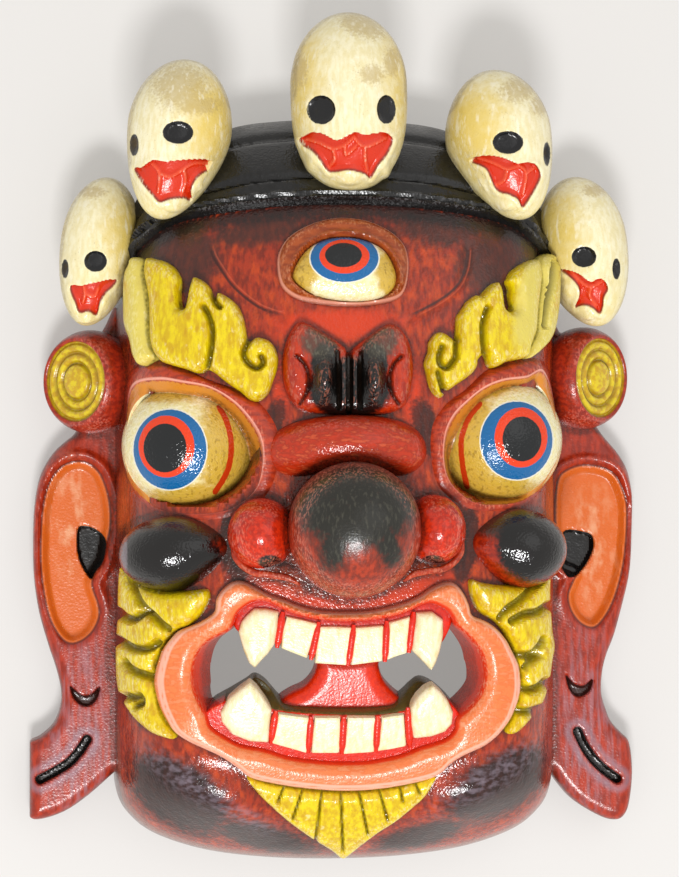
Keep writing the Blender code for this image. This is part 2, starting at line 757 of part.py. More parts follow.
def main():
    for thing in list(bpy.data.objects):
        bpy.data.objects.remove(thing)
    parts = bpy.data.collections.new("bhairab_mask")
    cutters = bpy.data.collections.new("cutters")
    bpy.context.scene.collection.children.link(parts)
    bpy.context.scene.collection.children.link(cutters)

    forms = [block(mouth_recess)]
    for make in (crown, skulls, brows, eyes, nose, cheeks, beard, mouth, ears):
        forms += make()
    mask = joined("mask", forms, parts)
    mask.data.materials.clear()
    mask.data.materials.append(paint())
    melted(mask)

    cuts = [("hollow", hollow()), ("floor", floor_block())]
    for side, word in ((1, "right"), (-1, "left")):
        cuts.append((f"mouth_gap_{word}", mouth_gap(side)))
        for number, mesh in enumerate(ear_cutters(side), 1):
            cuts.append((f"ear_cut_{word}_{number}", mesh))
    for name, mesh in cuts:
        cutter(name, mesh, cutters)
    cut = mask.modifiers.new("hollows", "BOOLEAN")
    cut.operation = "DIFFERENCE"
    cut.solver = "EXACT"
    cut.operand_type = "COLLECTION"
    cut.collection = cutters


main()
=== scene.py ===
# %% [markdown]
# # A carved and painted wooden mask
# The real mask is one block of soft wood. A carver roughs out a deep rounded block, cuts the
# big bulging forms first (nose, eyes, cheeks, lips) and the flat curls and teeth last, hollows
# the back, primes the wood and paints it with oil colour under a brushed lacquer. A thin dark
# wash is then rubbed into every hollow, which makes the carving read from across a room.
# We follow the same order here: block, bulges, raised curls, paint, wash.

# %% Load the frame that every piece is placed in
import math

import bmesh
import bpy
import numpy as np
from mathutils import Euler, Matrix, Vector
from mathutils.geometry import delaunay_2d_cdt


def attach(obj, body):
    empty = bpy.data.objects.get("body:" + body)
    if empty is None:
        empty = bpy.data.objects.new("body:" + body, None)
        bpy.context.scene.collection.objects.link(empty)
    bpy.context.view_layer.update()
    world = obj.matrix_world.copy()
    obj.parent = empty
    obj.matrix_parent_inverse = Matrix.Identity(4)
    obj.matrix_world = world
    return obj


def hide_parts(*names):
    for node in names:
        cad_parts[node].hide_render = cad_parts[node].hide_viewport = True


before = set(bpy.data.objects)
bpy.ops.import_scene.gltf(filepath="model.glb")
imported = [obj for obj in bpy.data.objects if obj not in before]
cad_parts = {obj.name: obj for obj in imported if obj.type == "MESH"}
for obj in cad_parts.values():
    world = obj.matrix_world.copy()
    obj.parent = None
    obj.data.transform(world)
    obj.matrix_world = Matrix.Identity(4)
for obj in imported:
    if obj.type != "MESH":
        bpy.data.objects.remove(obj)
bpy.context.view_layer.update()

MM = 0.001

# %% [markdown]
# ## The camera comes first
# The mask lies on its back and the camera looks down on it, a little from the left. Once the
# camera is known, any outline can be read off the photograph as pixels and put on the wood at
# its true height. The two functions below are each other's opposite: one says where a point is
# seen, the other where a seen point lies if we know how high it is.

# %% The photograph's camera, in millimetres and pixels
PHOTO_MIDDLE = (339.5, 438.5)
FOCAL_PIXELS = 3001
PHOTO_LONG_SIDE = 877
CAMERA_AT = (-107.5, 1.7, 1195.0)
CAMERA_TILT = math.radians(5.3)
TILT_COS, TILT_SIN = math.cos(CAMERA_TILT), math.sin(CAMERA_TILT)
PIXELS_A_MM = 2.67


def seen_at(points):
    """Where points in millimetres are seen, in pixels of the photograph."""
    x, y, z = (points[:, i] - CAMERA_AT[i] for i in range(3))
    right = x * TILT_COS + z * TILT_SIN
    away = x * TILT_SIN - z * TILT_COS
    across = PHOTO_MIDDLE[0] + FOCAL_PIXELS * right / away
    down = PHOTO_MIDDLE[1] - FOCAL_PIXELS * y / away
    return np.stack([across, down], axis=1)


def placed(pixels, height):
    """The points at a known height that are seen at these pixels."""
    pixels = np.asarray(pixels, float)
    u = (pixels[:, 0] - PHOTO_MIDDLE[0]) / FOCAL_PIXELS
    drop = height - CAMERA_AT[2]
    x = -drop * (TILT_SIN + u * TILT_COS) / (TILT_COS - u * TILT_SIN)
    away = x * TILT_SIN - drop * TILT_COS
    y = CAMERA_AT[1] + (PHOTO_MIDDLE[1] - pixels[:, 1]) / FOCAL_PIXELS * away
    return np.stack([x + CAMERA_AT[0], y], axis=1)


camera_data = bpy.data.cameras.new("photo_camera")
camera_data.lens = FOCAL_PIXELS * camera_data.sensor_width / PHOTO_LONG_SIDE
camera_data.clip_start = 0.01
camera = bpy.data.objects.new("photo_camera", camera_data)
camera.matrix_world = Matrix(
    (
        (TILT_COS, 0, -TILT_SIN, CAMERA_AT[0] * MM),
        (0, 1, 0, CAMERA_AT[1] * MM),
        (TILT_SIN, 0, TILT_COS, CAMERA_AT[2] * MM),
        (0, 0, 0, 1),
    )
)
bpy.context.scene.collection.objects.link(camera)
bpy.context.scene.camera = camera
print("camera lens in mm:", round(camera_data.lens, 1))

# %% [markdown]
# ## Curves and distances
# Most of the carving is flat pattern work: a curl, a lip or a tooth is an outline on the block,
# raised with a rounded edge. So the tools we need are a smooth curve through a few points, and
# the distance from any point to a line or to an outline's edge.

# %% Smooth lines and the distance to them


def smooth(corners, steps=6, closed=True):
    """A smooth curve through the corners."""
    corners = np.asarray(corners, float)
    if closed:
        ring = np.concatenate([corners[-1:], corners, corners[:2]])
    else:
        ring = np.concatenate([corners[:1], corners, corners[-1:]])
    before, here, after, beyond = ring[:-3], ring[1:-2], ring[2:-1], ring[3:]
    points = []
    for t in np.linspace(0, 1, steps, endpoint=False):
        points.append(
            here
            + 0.5 * t * (after - before)
            + 0.5 * t**2 * (2 * before - 5 * here + 4 * after - beyond)
            + 0.5 * t**3 * (3 * here - before - 3 * after + beyond)
        )
    curve = np.stack(points, axis=1).reshape(-1, corners.shape[1])
    return curve if closed else np.concatenate([curve, corners[-1:]])


CHUNK = 4000


def even(line, step, closed=True):
    """The same line with points at even steps along it."""
    if closed:
        line = np.concatenate([line, line[:1]])
    lengths = np.concatenate([[0], np.cumsum(np.linalg.norm(np.diff(line, axis=0), axis=1))])
    count = max(3, int(round(lengths[-1] / step)))
    places = np.linspace(0, lengths[-1], count + 1)
    places = places[:-1] if closed else places
    return np.stack([np.interp(places, lengths, line[:, i]) for i in range(line.shape[1])], axis=1)


def line_distance(points, line, closed=False):
    """How far points are from a line, in the line's own units."""
    ends = np.roll(line, -1, axis=0) if closed else line[1:]
    starts = line if closed else line[:-1]
    run = ends - starts
    length = np.maximum((run**2).sum(axis=1), 1e-9)
    near = np.empty(len(points))
    for first in range(0, len(points), CHUNK):
        gap = points[first : first + CHUNK, None, :] - starts[None]
        share = np.clip((gap * run).sum(axis=2) / length, 0, 1)
        gap = gap - share[:, :, None] * run
        near[first : first + CHUNK] = np.sqrt((gap**2).sum(axis=2).min(axis=1))
    return near


def depth_inside(points, loops):
    """How far points lie inside closed outlines, with holes left out; less than 0 outside."""
    near = np.min([line_distance(points, loop, True) for loop in loops], axis=0)
    crossings = np.zeros(len(points), int)
    for loop in loops:
        ends = np.roll(loop, -1, axis=0)
        rise = np.where(ends[:, 1] == loop[:, 1], 1e-12, ends[:, 1] - loop[:, 1])
        for first in range(0, len(points), CHUNK):
            x, y = points[first : first + CHUNK, :1], points[first : first + CHUNK, 1:2]
            over = (loop[:, 1] > y) != (ends[:, 1] > y)
            left = x < (ends[:, 0] - loop[:, 0]) * (y - loop[:, 1]) / rise + loop[:, 0]
            crossings[first : first + CHUNK] += (over & left).sum(axis=1)
    return np.where(crossings % 2 == 1, near, -near)


def ease(value):
    """A smooth step from 0 to 1."""
    value = np.clip(value, 0, 1)
    return value * value * (3 - 2 * value)


def bevel(inside, radius):
    """A quarter-round edge: 0 at the outline, 1 from one radius inside it."""
    return np.sqrt(1 - (1 - np.clip(inside / radius, 0, 1)) ** 2)


def pillow(foot, top, edge):
    """A profile that rises from foot to top over a rounded edge."""
    return lambda xy, inside: foot + (top - foot) * bevel(inside, edge)


print("a smooth line through 4 corners has", len(smooth(((0, 0), (1, 0), (1, 1), (0, 1)))), "points")

# %% [markdown]
# ## The uncarved block
# Before the details the carver has a deep pillow of wood, flat behind. Seen from the front it
# is a tall rounded rectangle; its height falls away in a rounded shoulder. The same few
# numbers describe it in the solid model, so what we build on it sits where the solid is.

# %% The block's outline and height
FACE_HALF_WIDTH = 87.0
FACE_HALF_HEIGHT = 146.0
FACE_MIDDLE_Y = -19.0
FACE_DEPTH = 76.0
SIDE_SQUARENESS = 4.0
TOP_ROUNDNESS = 2.5
FACE_OUTLINE = (
    (0.00, 1.000), (0.25, 0.995), (0.48, 0.975), (0.70, 0.915), (0.86, 0.820), (0.945, 0.715),
    (0.98, 0.600), (1.00, 0.400), (1.00, 0.000), (1.00, -0.400), (1.00, -0.700), (0.985, -0.815),
    (0.920, -0.880), (0.80, -0.930), (0.58, -0.972), (0.30, -0.994), (0.00, -1.000),
)
FACE_PROFILE = (
    (-1.0, 0.84), (-0.8, 0.90), (-0.45, 0.97), (0.0, 1.0), (0.4, 0.98), (0.8, 0.92), (1.0, 0.86),
)
FACE_LOOP = smooth(list(FACE_OUTLINE) + [(-x, y) for x, y in reversed(FACE_OUTLINE[1:-1])], 8)
LOOP_ANGLES = np.arctan2(FACE_LOOP[:, 1], FACE_LOOP[:, 0])
LOOP_ORDER = np.argsort(LOOP_ANGLES)
LOOP_RADII = np.hypot(FACE_LOOP[:, 0], FACE_LOOP[:, 1])


def edge_at(angle):
    """How far the outline lies from the middle in a direction, in shares."""
    return np.interp(angle, LOOP_ANGLES[LOOP_ORDER], LOOP_RADII[LOOP_ORDER], period=2 * math.pi)


def shares(x, y):
    """Millimetres as shares of half the face's width and height."""
    return x / FACE_HALF_WIDTH, (y - FACE_MIDDLE_Y) / FACE_HALF_HEIGHT


def dome(x, y):
    """The height of the uncarved block."""
    x_share, y_share = shares(x, y)
    out = np.hypot(x_share, y_share) / edge_at(np.arctan2(y_share, x_share))
    places, heights = zip(*FACE_PROFILE)
    shoulder = (1 - np.clip(out, 0, 1) ** SIDE_SQUARENESS) ** (1 / TOP_ROUNDNESS)
    return FACE_DEPTH * np.interp(y_share, places, heights) * shoulder


def dome_normal(x, y, step=0.6):
    """The way that the block looks at a place."""
    slope_x = (dome(x + step, y) - dome(x - step, y)) / (2 * step)
    slope_y = (dome(x, y + step) - dome(x, y - step)) / (2 * step)
    normal = np.stack([-slope_x, -slope_y, np.ones_like(slope_x)], axis=1)
    return normal / np.linalg.norm(normal, axis=1, keepdims=True)


SHOULDER_LIMIT = 0.985


def unshared(x_share, y_share):
    """Shares of half the face's width and height as points in millimetres."""
    return np.column_stack([x_share * FACE_HALF_WIDTH, y_share * FACE_HALF_HEIGHT + FACE_MIDDLE_Y])


def kept_in(xy, most=SHOULDER_LIMIT):
    """Points pulled back to within the block's shoulder."""
    x_share, y_share = shares(xy[:, 0], xy[:, 1])
    out = np.hypot(x_share, y_share) / edge_at(np.arctan2(y_share, x_share))
    pull = np.minimum(1, most / np.maximum(out, 0.01))
    return unshared(x_share * pull, y_share * pull)


def lifted(xy, rise):
    """Points over the block, raised along the way that it looks there."""
    x, y = xy[:, 0], xy[:, 1]
    foot = np.column_stack([x, y, dome(x, y)])
    return foot + dome_normal(x, y) * np.asarray(rise, float).reshape(-1, 1)


FIRST_GUESS_HEIGHT = 65.0
TRACE_ROUNDS = 24
TRACE_STRIDE = 0.6


def traced(pixels, rise=0.0):
    """The places on the block that are seen at these pixels when raised by so much."""
    pixels = np.asarray(pixels, float)
    xy = kept_in(placed(pixels, FIRST_GUESS_HEIGHT))
    for _ in range(TRACE_ROUNDS):
        miss = pixels - seen_at(lifted(xy, rise))
        xy = kept_in(xy + TRACE_STRIDE * miss * (1, -1) / PIXELS_A_MM)
    return xy


print("block top in mm:", round(float(dome(np.array([0.0]), np.array([FACE_MIDDLE_Y]))[0]), 1))

# %% [markdown]
# ## From outline to carved form
# Each raised form becomes a closed mesh of its own. We scatter points inside its outline, closer
# together near the edge, let Blender join them into triangles (a constrained Delaunay mesh),
# raise them by a profile, and give the form a wall that goes down into the block below it. The
# crease where two forms meet is then as crisp as a knife cut, which no displaced grid gives.

# %% A piece of the mask, from its points and faces
PIECES = []
SHARP_ANGLE = 35
collection = bpy.data.collections.new("mask_looks")
bpy.context.scene.collection.children.link(collection)


def piece(name, points, faces, facts):
    """A mesh object from points in millimetres, with named numbers for the paint on each point."""
    mesh = bpy.data.meshes.new(name)
    mesh.from_pydata(np.asarray(points) * MM, [], faces)
    mesh.shade_smooth()
    mesh.set_sharp_from_angle(angle=math.radians(SHARP_ANGLE))
    for key, values in facts.items():
        fact = mesh.attributes.new(key, "FLOAT", "POINT")
        fact.data.foreach_set("value", np.broadcast_to(values, len(points)).astype(np.float32))
    thing = bpy.data.objects.new(name, mesh)
    collection.objects.link(thing)
    PIECES.append(thing)
    print(name, "faces:", len(mesh.polygons))


# %% An outline filled with triangles
EDGE_ROWS = (0.35, 0.9)
ROW_SLACK = 0.93
GRID_GAP = 0.6


def triangles_inside(loops, pitch):
    """Points and triangles that fill an outline, with finer rows of points along its edge."""
    edges, points, first = [], [], 0
    for loop in loops:
        count = len(loop)
        edges += [(first + i, first + (i + 1) % count) for i in range(count)]
        points.append(loop)
        first += count
    for ring in EDGE_ROWS:
        for loop in loops:
            run = np.roll(loop, -1, axis=0) - np.roll(loop, 1, axis=0)
            side = np.stack([-run[:, 1], run[:, 0]], axis=1) / np.linalg.norm(run, axis=1)[:, None]
            for way in (1, -1):
                moved = loop + side * ring * way
                points.append(moved[depth_inside(moved, loops) > ring * ROW_SLACK])
    low, high = loops[0].min(axis=0), loops[0].max(axis=0)
    axes = [np.arange(low[i], high[i], pitch) for i in (0, 1)]
    grid = np.stack(np.meshgrid(*axes), axis=-1).reshape(-1, 2)
    points.append(grid[depth_inside(grid, loops) > max(EDGE_ROWS) + GRID_GAP * pitch])
    points = np.concatenate(points)
    made = delaunay_2d_cdt([tuple(p) for p in points], edges, [], 0, 1e-4, False)
    points, faces = np.array([tuple(p) for p in made[0]]), np.array(made[2])
    middles = points[faces].mean(axis=1)
    faces = faces[depth_inside(middles, loops) > 0]
    run_a = points[faces[:, 1]] - points[faces[:, 0]]
    run_b = points[faces[:, 2]] - points[faces[:, 0]]
    backwards = run_a[:, 0] * run_b[:, 1] < run_a[:, 1] * run_b[:, 0]
    faces[backwards] = faces[backwards][:, ::-1]
    used, faces = np.unique(faces, return_inverse=True)
    return points[used], faces.reshape(-1, 3)


def walled(top, bottom, faces):
    """A closed solid between two sheets that share their faces, whose rims are joined."""
    count = len(top)
    sides = {}
    for loop in faces:
        for a, b in zip(loop, np.roll(loop, -1)):
            if (b, a) in sides:
                del sides[b, a]
            else:
                sides[a, b] = (b, a, a + count, b + count)
    closed = [tuple(f) for f in faces] + [tuple(f[::-1] + count) for f in faces] + list(sides.values())
    return np.concatenate([top, bottom]), closed


# %% A raised form, cut from its outline
FAR = 99.0


def relief(outline, rise, sink=5.0, pitch=0.8, holes=(), carry=lifted, grooves=()):
    """A raised form on the block. Returns its points, its faces and the facts for its paint.

    rise(xy, inside) gives the height along the way that the block looks, in millimetres, and
    carry(xy, height) lifts the points off the block. A groove is (line in pixels, width, depth).
    """
    loops = [even(loop, pitch) for loop in (outline, *holes)]
    xy, faces = triangles_inside(loops, pitch)
    inside = np.maximum(depth_inside(xy, loops), 0)
    height = rise(xy, inside) * np.ones(len(xy))
    groove = np.full(len(xy), FAR)
    seen = seen_at(carry(xy, height))
    for line, width, depth in grooves:
        away = line_distance(seen, line) / PIXELS_A_MM
        height = height - depth * (1 - ease(away / width))
        groove = np.minimum(groove, away / width)
    points, closed = walled(carry(xy, height), carry(xy, -sink), faces)
    return points, closed, {"inside": np.concatenate([inside, inside * 0]), "groove": np.tile(groove, 2)}


def merged(parts):
    """Several closed forms as one list of points, faces and facts."""
    points, faces, facts, first = [], [], {}, 0
    for some_points, some_faces, some_facts in parts:
        points.append(some_points)
        faces += [tuple(int(i) + first for i in f) for f in some_faces]
        for key, values in some_facts.items():
            facts.setdefault(key, []).append(values)
        first += len(some_points)
    return np.concatenate(points), faces, {key: np.concatenate(value) for key, value in facts.items()}


# %% Balls and bars


def turned(degrees):
    """The matrix that turns rows of points about the three axes."""
    return np.array(Euler([math.radians(a) for a in degrees]).to_matrix()).T


def globe(centre, radii, turn=(0, 0, 0), segments=96, rings=64, shape=None):
    """A ball with its poles up and down the face, stretched, shaped and put in its place."""
    mesh = bmesh.new()
    bmesh.ops.create_uvsphere(mesh, u_segments=segments, v_segments=rings, radius=1)
    points = np.array([v.co[:] for v in mesh.verts])
    faces = [tuple(v.index for v in f.verts) for f in mesh.faces]
    mesh.free()
    points = np.stack([points[:, 0], points[:, 2], -points[:, 1]], axis=1)
    points = points * radii if shape is None else shape(points) * radii
    return points @ turned(turn) + centre, faces


def tube(path, radii, sides):
    """A round bar along a path in space, with its own radius at each point, closed at its ends."""
    path, radii = np.asarray(path, float), np.broadcast_to(radii, len(path))
    run = np.gradient(path, axis=0)
    run /= np.linalg.norm(run, axis=1)[:, None]
    side = np.cross(run, (0, 0, 1.0))
    side /= np.linalg.norm(side, axis=1)[:, None]
    up = np.cross(side, run)
    angles = np.linspace(0, 2 * math.pi, sides, endpoint=False)[None, :, None]
    rim = np.cos(angles) * side[:, None] + np.sin(angles) * up[:, None]
    points = (path[:, None] + rim * radii[:, None, None]).reshape(-1, 3)
    faces = []
    for row in range(len(path) - 1):
        for i in range(sides):
            j = (i + 1) % sides
            a, b = row * sides, (row + 1) * sides
            faces.append((a + i, a + j, b + j, b + i))
    last = (len(path) - 1) * sides
    faces += [tuple(range(sides))[::-1], tuple(last + i for i in range(sides))]
    return points, faces


def tapered(count, radius, end, share=0.2):
    """Radii for a bar that thins towards both ends."""
    t = np.linspace(0, 1, count)
    return radius * (end + (1 - end) * ease(np.minimum(t, 1 - t) / share))


def nowhere(count):
    """Facts for a form that has no grooves and no painted edge."""
    return {"inside": np.full(count, FAR), "groove": np.full(count, FAR)}


def ringed(rows, columns):
    """Four-sided faces for rows of points that each close into a ring."""
    index = np.arange(rows * columns).reshape(rows, columns)
    after = np.roll(index, -1, axis=1)
    return np.stack([index[:-1], after[:-1], after[1:], index[1:]], axis=-1).reshape(-1, 4)


print("a bar of 3 rings with 12 sides has", len(tube(((0, 0, 0), (1, 0, 0), (2, 0, 0)), 1.0, 12)[1]), "faces")

# %% [markdown]
# ## The ground
# Some forms are cut into the block rather than raised on it: the sockets that the eyes sit in,
# the mouth, the swelling of the jaw and the two arcs over the brows. We put these into one
# height, the ground, that the face and everything on it share.

# %% Sockets, mouth and jaw
EYE_PLACES = {"left": (-58.5, -1.0), "right": (58.5, -0.5)}
SOCKET_RADII = (25.5, 23.5)
SOCKET_DEPTH = 20.0
SOCKET_WALL = 0.16
LIPS_OUTER = (
    (213, 612), (215, 600), (219, 592), (228, 584), (236, 581), (245, 582), (257, 588), (270, 595),
    (285, 600), (300, 606), (320, 611), (345, 612), (370, 611), (390, 607), (407, 602), (420, 596),
    (430, 589), (440, 584), (450, 582), (458, 585), (465, 594), (470, 605), (473, 615), (485, 620),
    (495, 626), (505, 637), (512, 650), (518, 663), (520, 675), (520, 690), (517, 703), (511, 718),
    (502, 731), (493, 740), (483, 747), (470, 753), (460, 758), (450, 765), (443, 772), (430, 779),
    (400, 786), (370, 790), (340, 791), (310, 789), (280, 785), (250, 778), (235, 767), (220, 757),
    (203, 749), (190, 743), (180, 737), (172, 730), (166, 720), (160, 708), (156, 695), (154, 682),
    (155, 672), (158, 660), (163, 647), (170, 638), (178, 630), (190, 625), (200, 621),
)
LIP_RISE = 6.5
lips_outer = traced(smooth(LIPS_OUTER, 4), LIP_RISE * 0.5)
MOUTH_DEPTH = 13.0
MOUTH_LEDGE = 2.0
MOUTH_WALL = 3.5
JAW_PLACES = {"left": (-47.0, -137.0), "right": (47.0, -136.0)}
JAW_RADII = (36.0, 17.0)
JAW_SWELL = 7.5
JAW_TURN = 20


def ellipse_distance(x, y, middle, radii, turn=0.0):
    """Distance from a middle as a share of an ellipse's radius."""
    cos, sin = math.cos(math.radians(turn)), math.sin(math.radians(turn))
    dx, dy = x - middle[0], y - middle[1]
    return np.hypot((dx * cos + dy * sin) / radii[0], (dy * cos - dx * sin) / radii[1])


def ground(x, y):
    """The block with what is cut into it."""
    height = dome(x, y)
    for middle in EYE_PLACES.values():
        wall = (ellipse_distance(x, y, middle, SOCKET_RADII) - (1 - SOCKET_WALL)) / SOCKET_WALL
        height = height - SOCKET_DEPTH * (1 - ease(wall))
    inside = depth_inside(np.column_stack([x, y]), [lips_outer])
    height = height - MOUTH_DEPTH * ease((inside - MOUTH_LEDGE) / MOUTH_WALL)
    for side, middle in JAW_PLACES.items():
        turn = JAW_TURN if side == "right" else -JAW_TURN
        height = height + JAW_SWELL * (1 - ease(ellipse_distance(x, y, middle, JAW_RADII, turn)))
    return height


FOREHEAD_ARCS = (
    ((210, 246), (213, 256), (219, 266), (234, 287), (259, 307), (284, 316)),
    ((468, 248), (467, 260), (465, 270), (458, 285), (440, 300), (408, 317)),
)
ARC_WIDTH = 3.0
ARC_DEPTH = 1.0
print("sockets:", len(EYE_PLACES), "swellings of the jaw:", len(JAW_PLACES), "arcs:", len(FOREHEAD_ARCS))

# %% [markdown]
# ## The face, hollow behind
# The front and the hollow are two sheets of the same grid, joined round the rim and round the
# two ways through beside the tongue, so the face is one closed shell with true walls. The grid
# runs straight up and down the middle and follows the outline near the rim.

# %% The grid of the face
GRID_COLUMNS, GRID_ROWS = 166, 278
WALL = 13.0
HOLLOW_DEPTH = 52.0
HOLLOW_SQUARENESS = 3.0
ROOF_OVER_HOLLOW = 6.0
RIM_FROM = 0.6
HOLE_MARGIN = 3.0
CROWDING = ((1.2, 6), (26, 60))
HOLE_LEFT = (
    (229, 622), (217, 634), (207, 640), (197, 652), (190, 668), (191, 682), (196, 696), (208, 710),
    (232, 718), (268, 716), (287, 704), (306, 690), (315, 680), (317, 655), (290, 640), (262, 630),
)
HOLE_RIGHT = (
    (458, 626), (470, 638), (480, 650), (486, 662), (487, 678), (482, 694), (473, 706), (458, 718),
    (432, 720), (404, 708), (397, 697), (387, 687), (380, 675), (378, 655), (400, 640), (432, 630),
)


def spread(count):
    """Places from -1 to 1 that crowd together towards both ends."""
    fine = np.linspace(0, 1, 2001)
    weight = 1 + sum(amount * fine**power for amount, power in CROWDING)
    reach = np.concatenate([[0], np.cumsum((weight[1:] + weight[:-1]) / 2)])
    half = np.interp(np.linspace(0, 1, count // 2 + 1), reach / reach[-1], fine)
    return np.concatenate([-half[:0:-1], half])


def face_grid():
    """Shares of the block's half width and height at each crossing of the grid."""
    s, t = np.meshgrid(spread(GRID_COLUMNS), spread(GRID_ROWS))
    out = np.maximum(np.abs(s), np.abs(t))
    angle = np.arctan2(t, s)
    edge = edge_at(angle)
    return out, out * edge * np.cos(angle), out * edge * np.sin(angle)


def arc_marks(x, y):
    """Signed distance from the forehead's arcs, and how far along them a place lies, from 0 to 1."""
    arcs = [traced(smooth(arc, 6, False)) for arc in FOREHEAD_ARCS]
    away = np.array([line_distance(np.column_stack([x, y]), arc) for arc in arcs])
    beside = np.sign([x - np.interp(y, arc[::-1, 1], arc[::-1, 0]) for arc in arcs])
    signed = np.where(away[0] < away[1], beside[0] * away[0], beside[1] * away[1])
    low, high = arcs[0][-1, 1], arcs[0][0, 1]
    return signed, np.min([ease((y - low) / 2.0), ease((high - y) / 2.0)], axis=0)


def face():
    """The block's front and back sheets, with the ways through the mouth."""
    out, x_share, y_share = face_grid()
    rows, columns = out.shape
    out = out.ravel()
    x, y = unshared(x_share.ravel(), y_share.ravel()).T
    arc, arc_here = arc_marks(x, y)
    z = np.maximum(ground(x, y) - ARC_DEPTH * (1 - ease(np.abs(arc) / ARC_WIDTH)), 0)
    front = np.column_stack([x, y, z])
    near_rim = ease((out - RIM_FROM) / (1 - RIM_FROM))
    inner_x = x * (1 - WALL / FACE_HALF_WIDTH * near_rim)
    inner_y = (y - FACE_MIDDLE_Y) * (1 - WALL / FACE_HALF_HEIGHT * near_rim) + FACE_MIDDLE_Y
    roof = HOLLOW_DEPTH * np.sqrt(1 - np.clip(out, 0, 1) ** HOLLOW_SQUARENESS)
    roof = np.minimum(roof, np.maximum(z - ROOF_OVER_HOLLOW, 0) + ROOF_OVER_HOLLOW * out**8)
    back = np.column_stack([inner_x, inner_y, roof])
    index = np.arange(rows * columns).reshape(rows, columns)
    faces = np.stack([index[:-1, :-1], index[:-1, 1:], index[1:, 1:], index[1:, :-1]], axis=-1).reshape(-1, 4)
    seen = seen_at(front[faces].mean(axis=1))
    open_cells = np.zeros(len(faces), bool)
    for hole in (HOLE_LEFT, HOLE_RIGHT):
        open_cells |= depth_inside(seen, [smooth(hole, 4)]) > -HOLE_MARGIN
    points, closed = walled(front, back, faces[~open_cells])
    used, renamed = np.unique(np.concatenate([np.array(f) for f in closed]), return_inverse=True)
    facts = {"back": np.repeat((0.0, 1.0), len(front)), "arc": np.tile(arc, 2)}
    facts["arc_here"] = np.tile(arc_here, 2)
    facts = {key: values[used] for key, values in facts.items()}
    return points[used], [tuple(f) for f in renamed.reshape(-1, 4)], {**nowhere(len(used)), **facts}


face_points, face_faces, face_facts = face()
print("face points:", len(face_points))

# %% [markdown]
# ## The crown band
# The black band starts in a raised double bead over the forehead and runs up and over the edge
# of the block. Two gouged lines follow it from side to side behind the skulls.

# %% The crown
CROWN_RISE = 3.0
BEAD_RISE = 1.8
BEAD_PLACES = (0.9, 2.9)
BEAD_WIDTH = 0.85
CROWN_LINES = (0.30, 0.78)
CROWN_GOUGE = (2.0, 1.4)
CROWN_LIMIT = 0.975
CROWN_SWELL, SWELL_WIDTH = 0.8, 14.0
CROWN_POINTS = 90


def crown_line(x_share):
    """Where the crown's lower edge runs."""
    return unshared(x_share, 0.750 - 0.082 * x_share**2 - 0.200 * np.abs(x_share) ** 12)


def crown():
    """The band between its lower edge and the edge of the block."""
    low = kept_in(crown_line(np.linspace(-SHOULDER_LIMIT, SHOULDER_LIMIT, CROWN_POINTS)), CROWN_LIMIT)
    x_share, y_share = shares(*low[[-1, 0]].T)
    angles = np.linspace(*np.arctan2(y_share, x_share), CROWN_POINTS)
    edge = edge_at(angles) * CROWN_LIMIT
    high = unshared(edge * np.cos(angles), edge * np.sin(angles))
    lines = [kept_in(low * (1 - share) + high[::-1] * share) for share in CROWN_LINES]
    grooves = [(seen_at(lifted(line, CROWN_RISE)), *CROWN_GOUGE) for line in lines]

    def rise(xy, inside):
        away = line_distance(xy, low)
        bead = sum(np.exp(-(((away - place) / BEAD_WIDTH) ** 2)) for place in BEAD_PLACES)
        band = CROWN_RISE * bevel(inside, 0.8) + BEAD_RISE * bead * ease(inside / 0.6)
        return band + CROWN_SWELL * ease(away / SWELL_WIDTH)

    return relief(np.concatenate([low, high[1:-1]]), rise, sink=6, grooves=grooves)


print("the crown's edge over the forehead, in mm:", round(float(crown_line(np.zeros(1))[0, 1]), 1))

# %% [markdown]
# ## The round forms
# Eyes, nose, cheeks and frown lumps are the first big cuts. Each is a stretched ball that sinks
# into the block, and the ones that have a dent, a nostril or a taper get it from a small
# function that moves the ball's points before they are stretched.

# %% Balls with their places, sizes and turns, in millimetres and degrees
ROUND_FORMS = {
    "eye_left": ((-58.6, -1.2, 50.0), (26.0, 25.2, 25.6), (0, 0, 0)),
    "eye_right": ((58.7, 1.2, 50.0), (26.0, 25.2, 25.6), (0, 0, 0)),
    "nose_ball": ((0.5, -32.0, 90.7), (24.8, 25.2, 25.0), (0, 0, 0)),
    "cheek_left": ((-65.0, -41.5, 64.0), (21.5, 14.6, 17.5), (0, -24, 4)),
    "cheek_right": ((65.0, -40.0, 64.0), (20.0, 15.4, 17.5), (0, 24, -4)),
    "wing_left": ((-33.0, -33.8, 78.5), (12.8, 13.4, 17.0), (0, -8, 0)),
    "wing_right": ((31.4, -32.4, 78.5), (11.8, 13.2, 17.0), (0, 8, 0)),
}
CHEEK_SIDES = {"cheek_left": -1, "cheek_right": 1}
CHEEK_SQUEEZE, CHEEK_LIFT = 0.30, 0.10


def cheek_shape(side):
    """A bulb that thins and lifts towards the nose."""

    def shape(unit):
        inward = np.clip(-unit[:, 0] * side, 0, 1)
        squeeze = 1 - CHEEK_SQUEEZE * inward**1.5
        return np.column_stack([unit[:, 0], unit[:, 1] * squeeze + CHEEK_LIFT * inward, unit[:, 2] * squeeze])

    return shape


round_parts = {}
for name, (centre, radii, turn) in ROUND_FORMS.items():
    shape = cheek_shape(CHEEK_SIDES[name]) if name in CHEEK_SIDES else None
    points, faces = globe(centre, radii, turn, shape=shape)
    round_parts[name] = (points, faces, nowhere(len(points)))

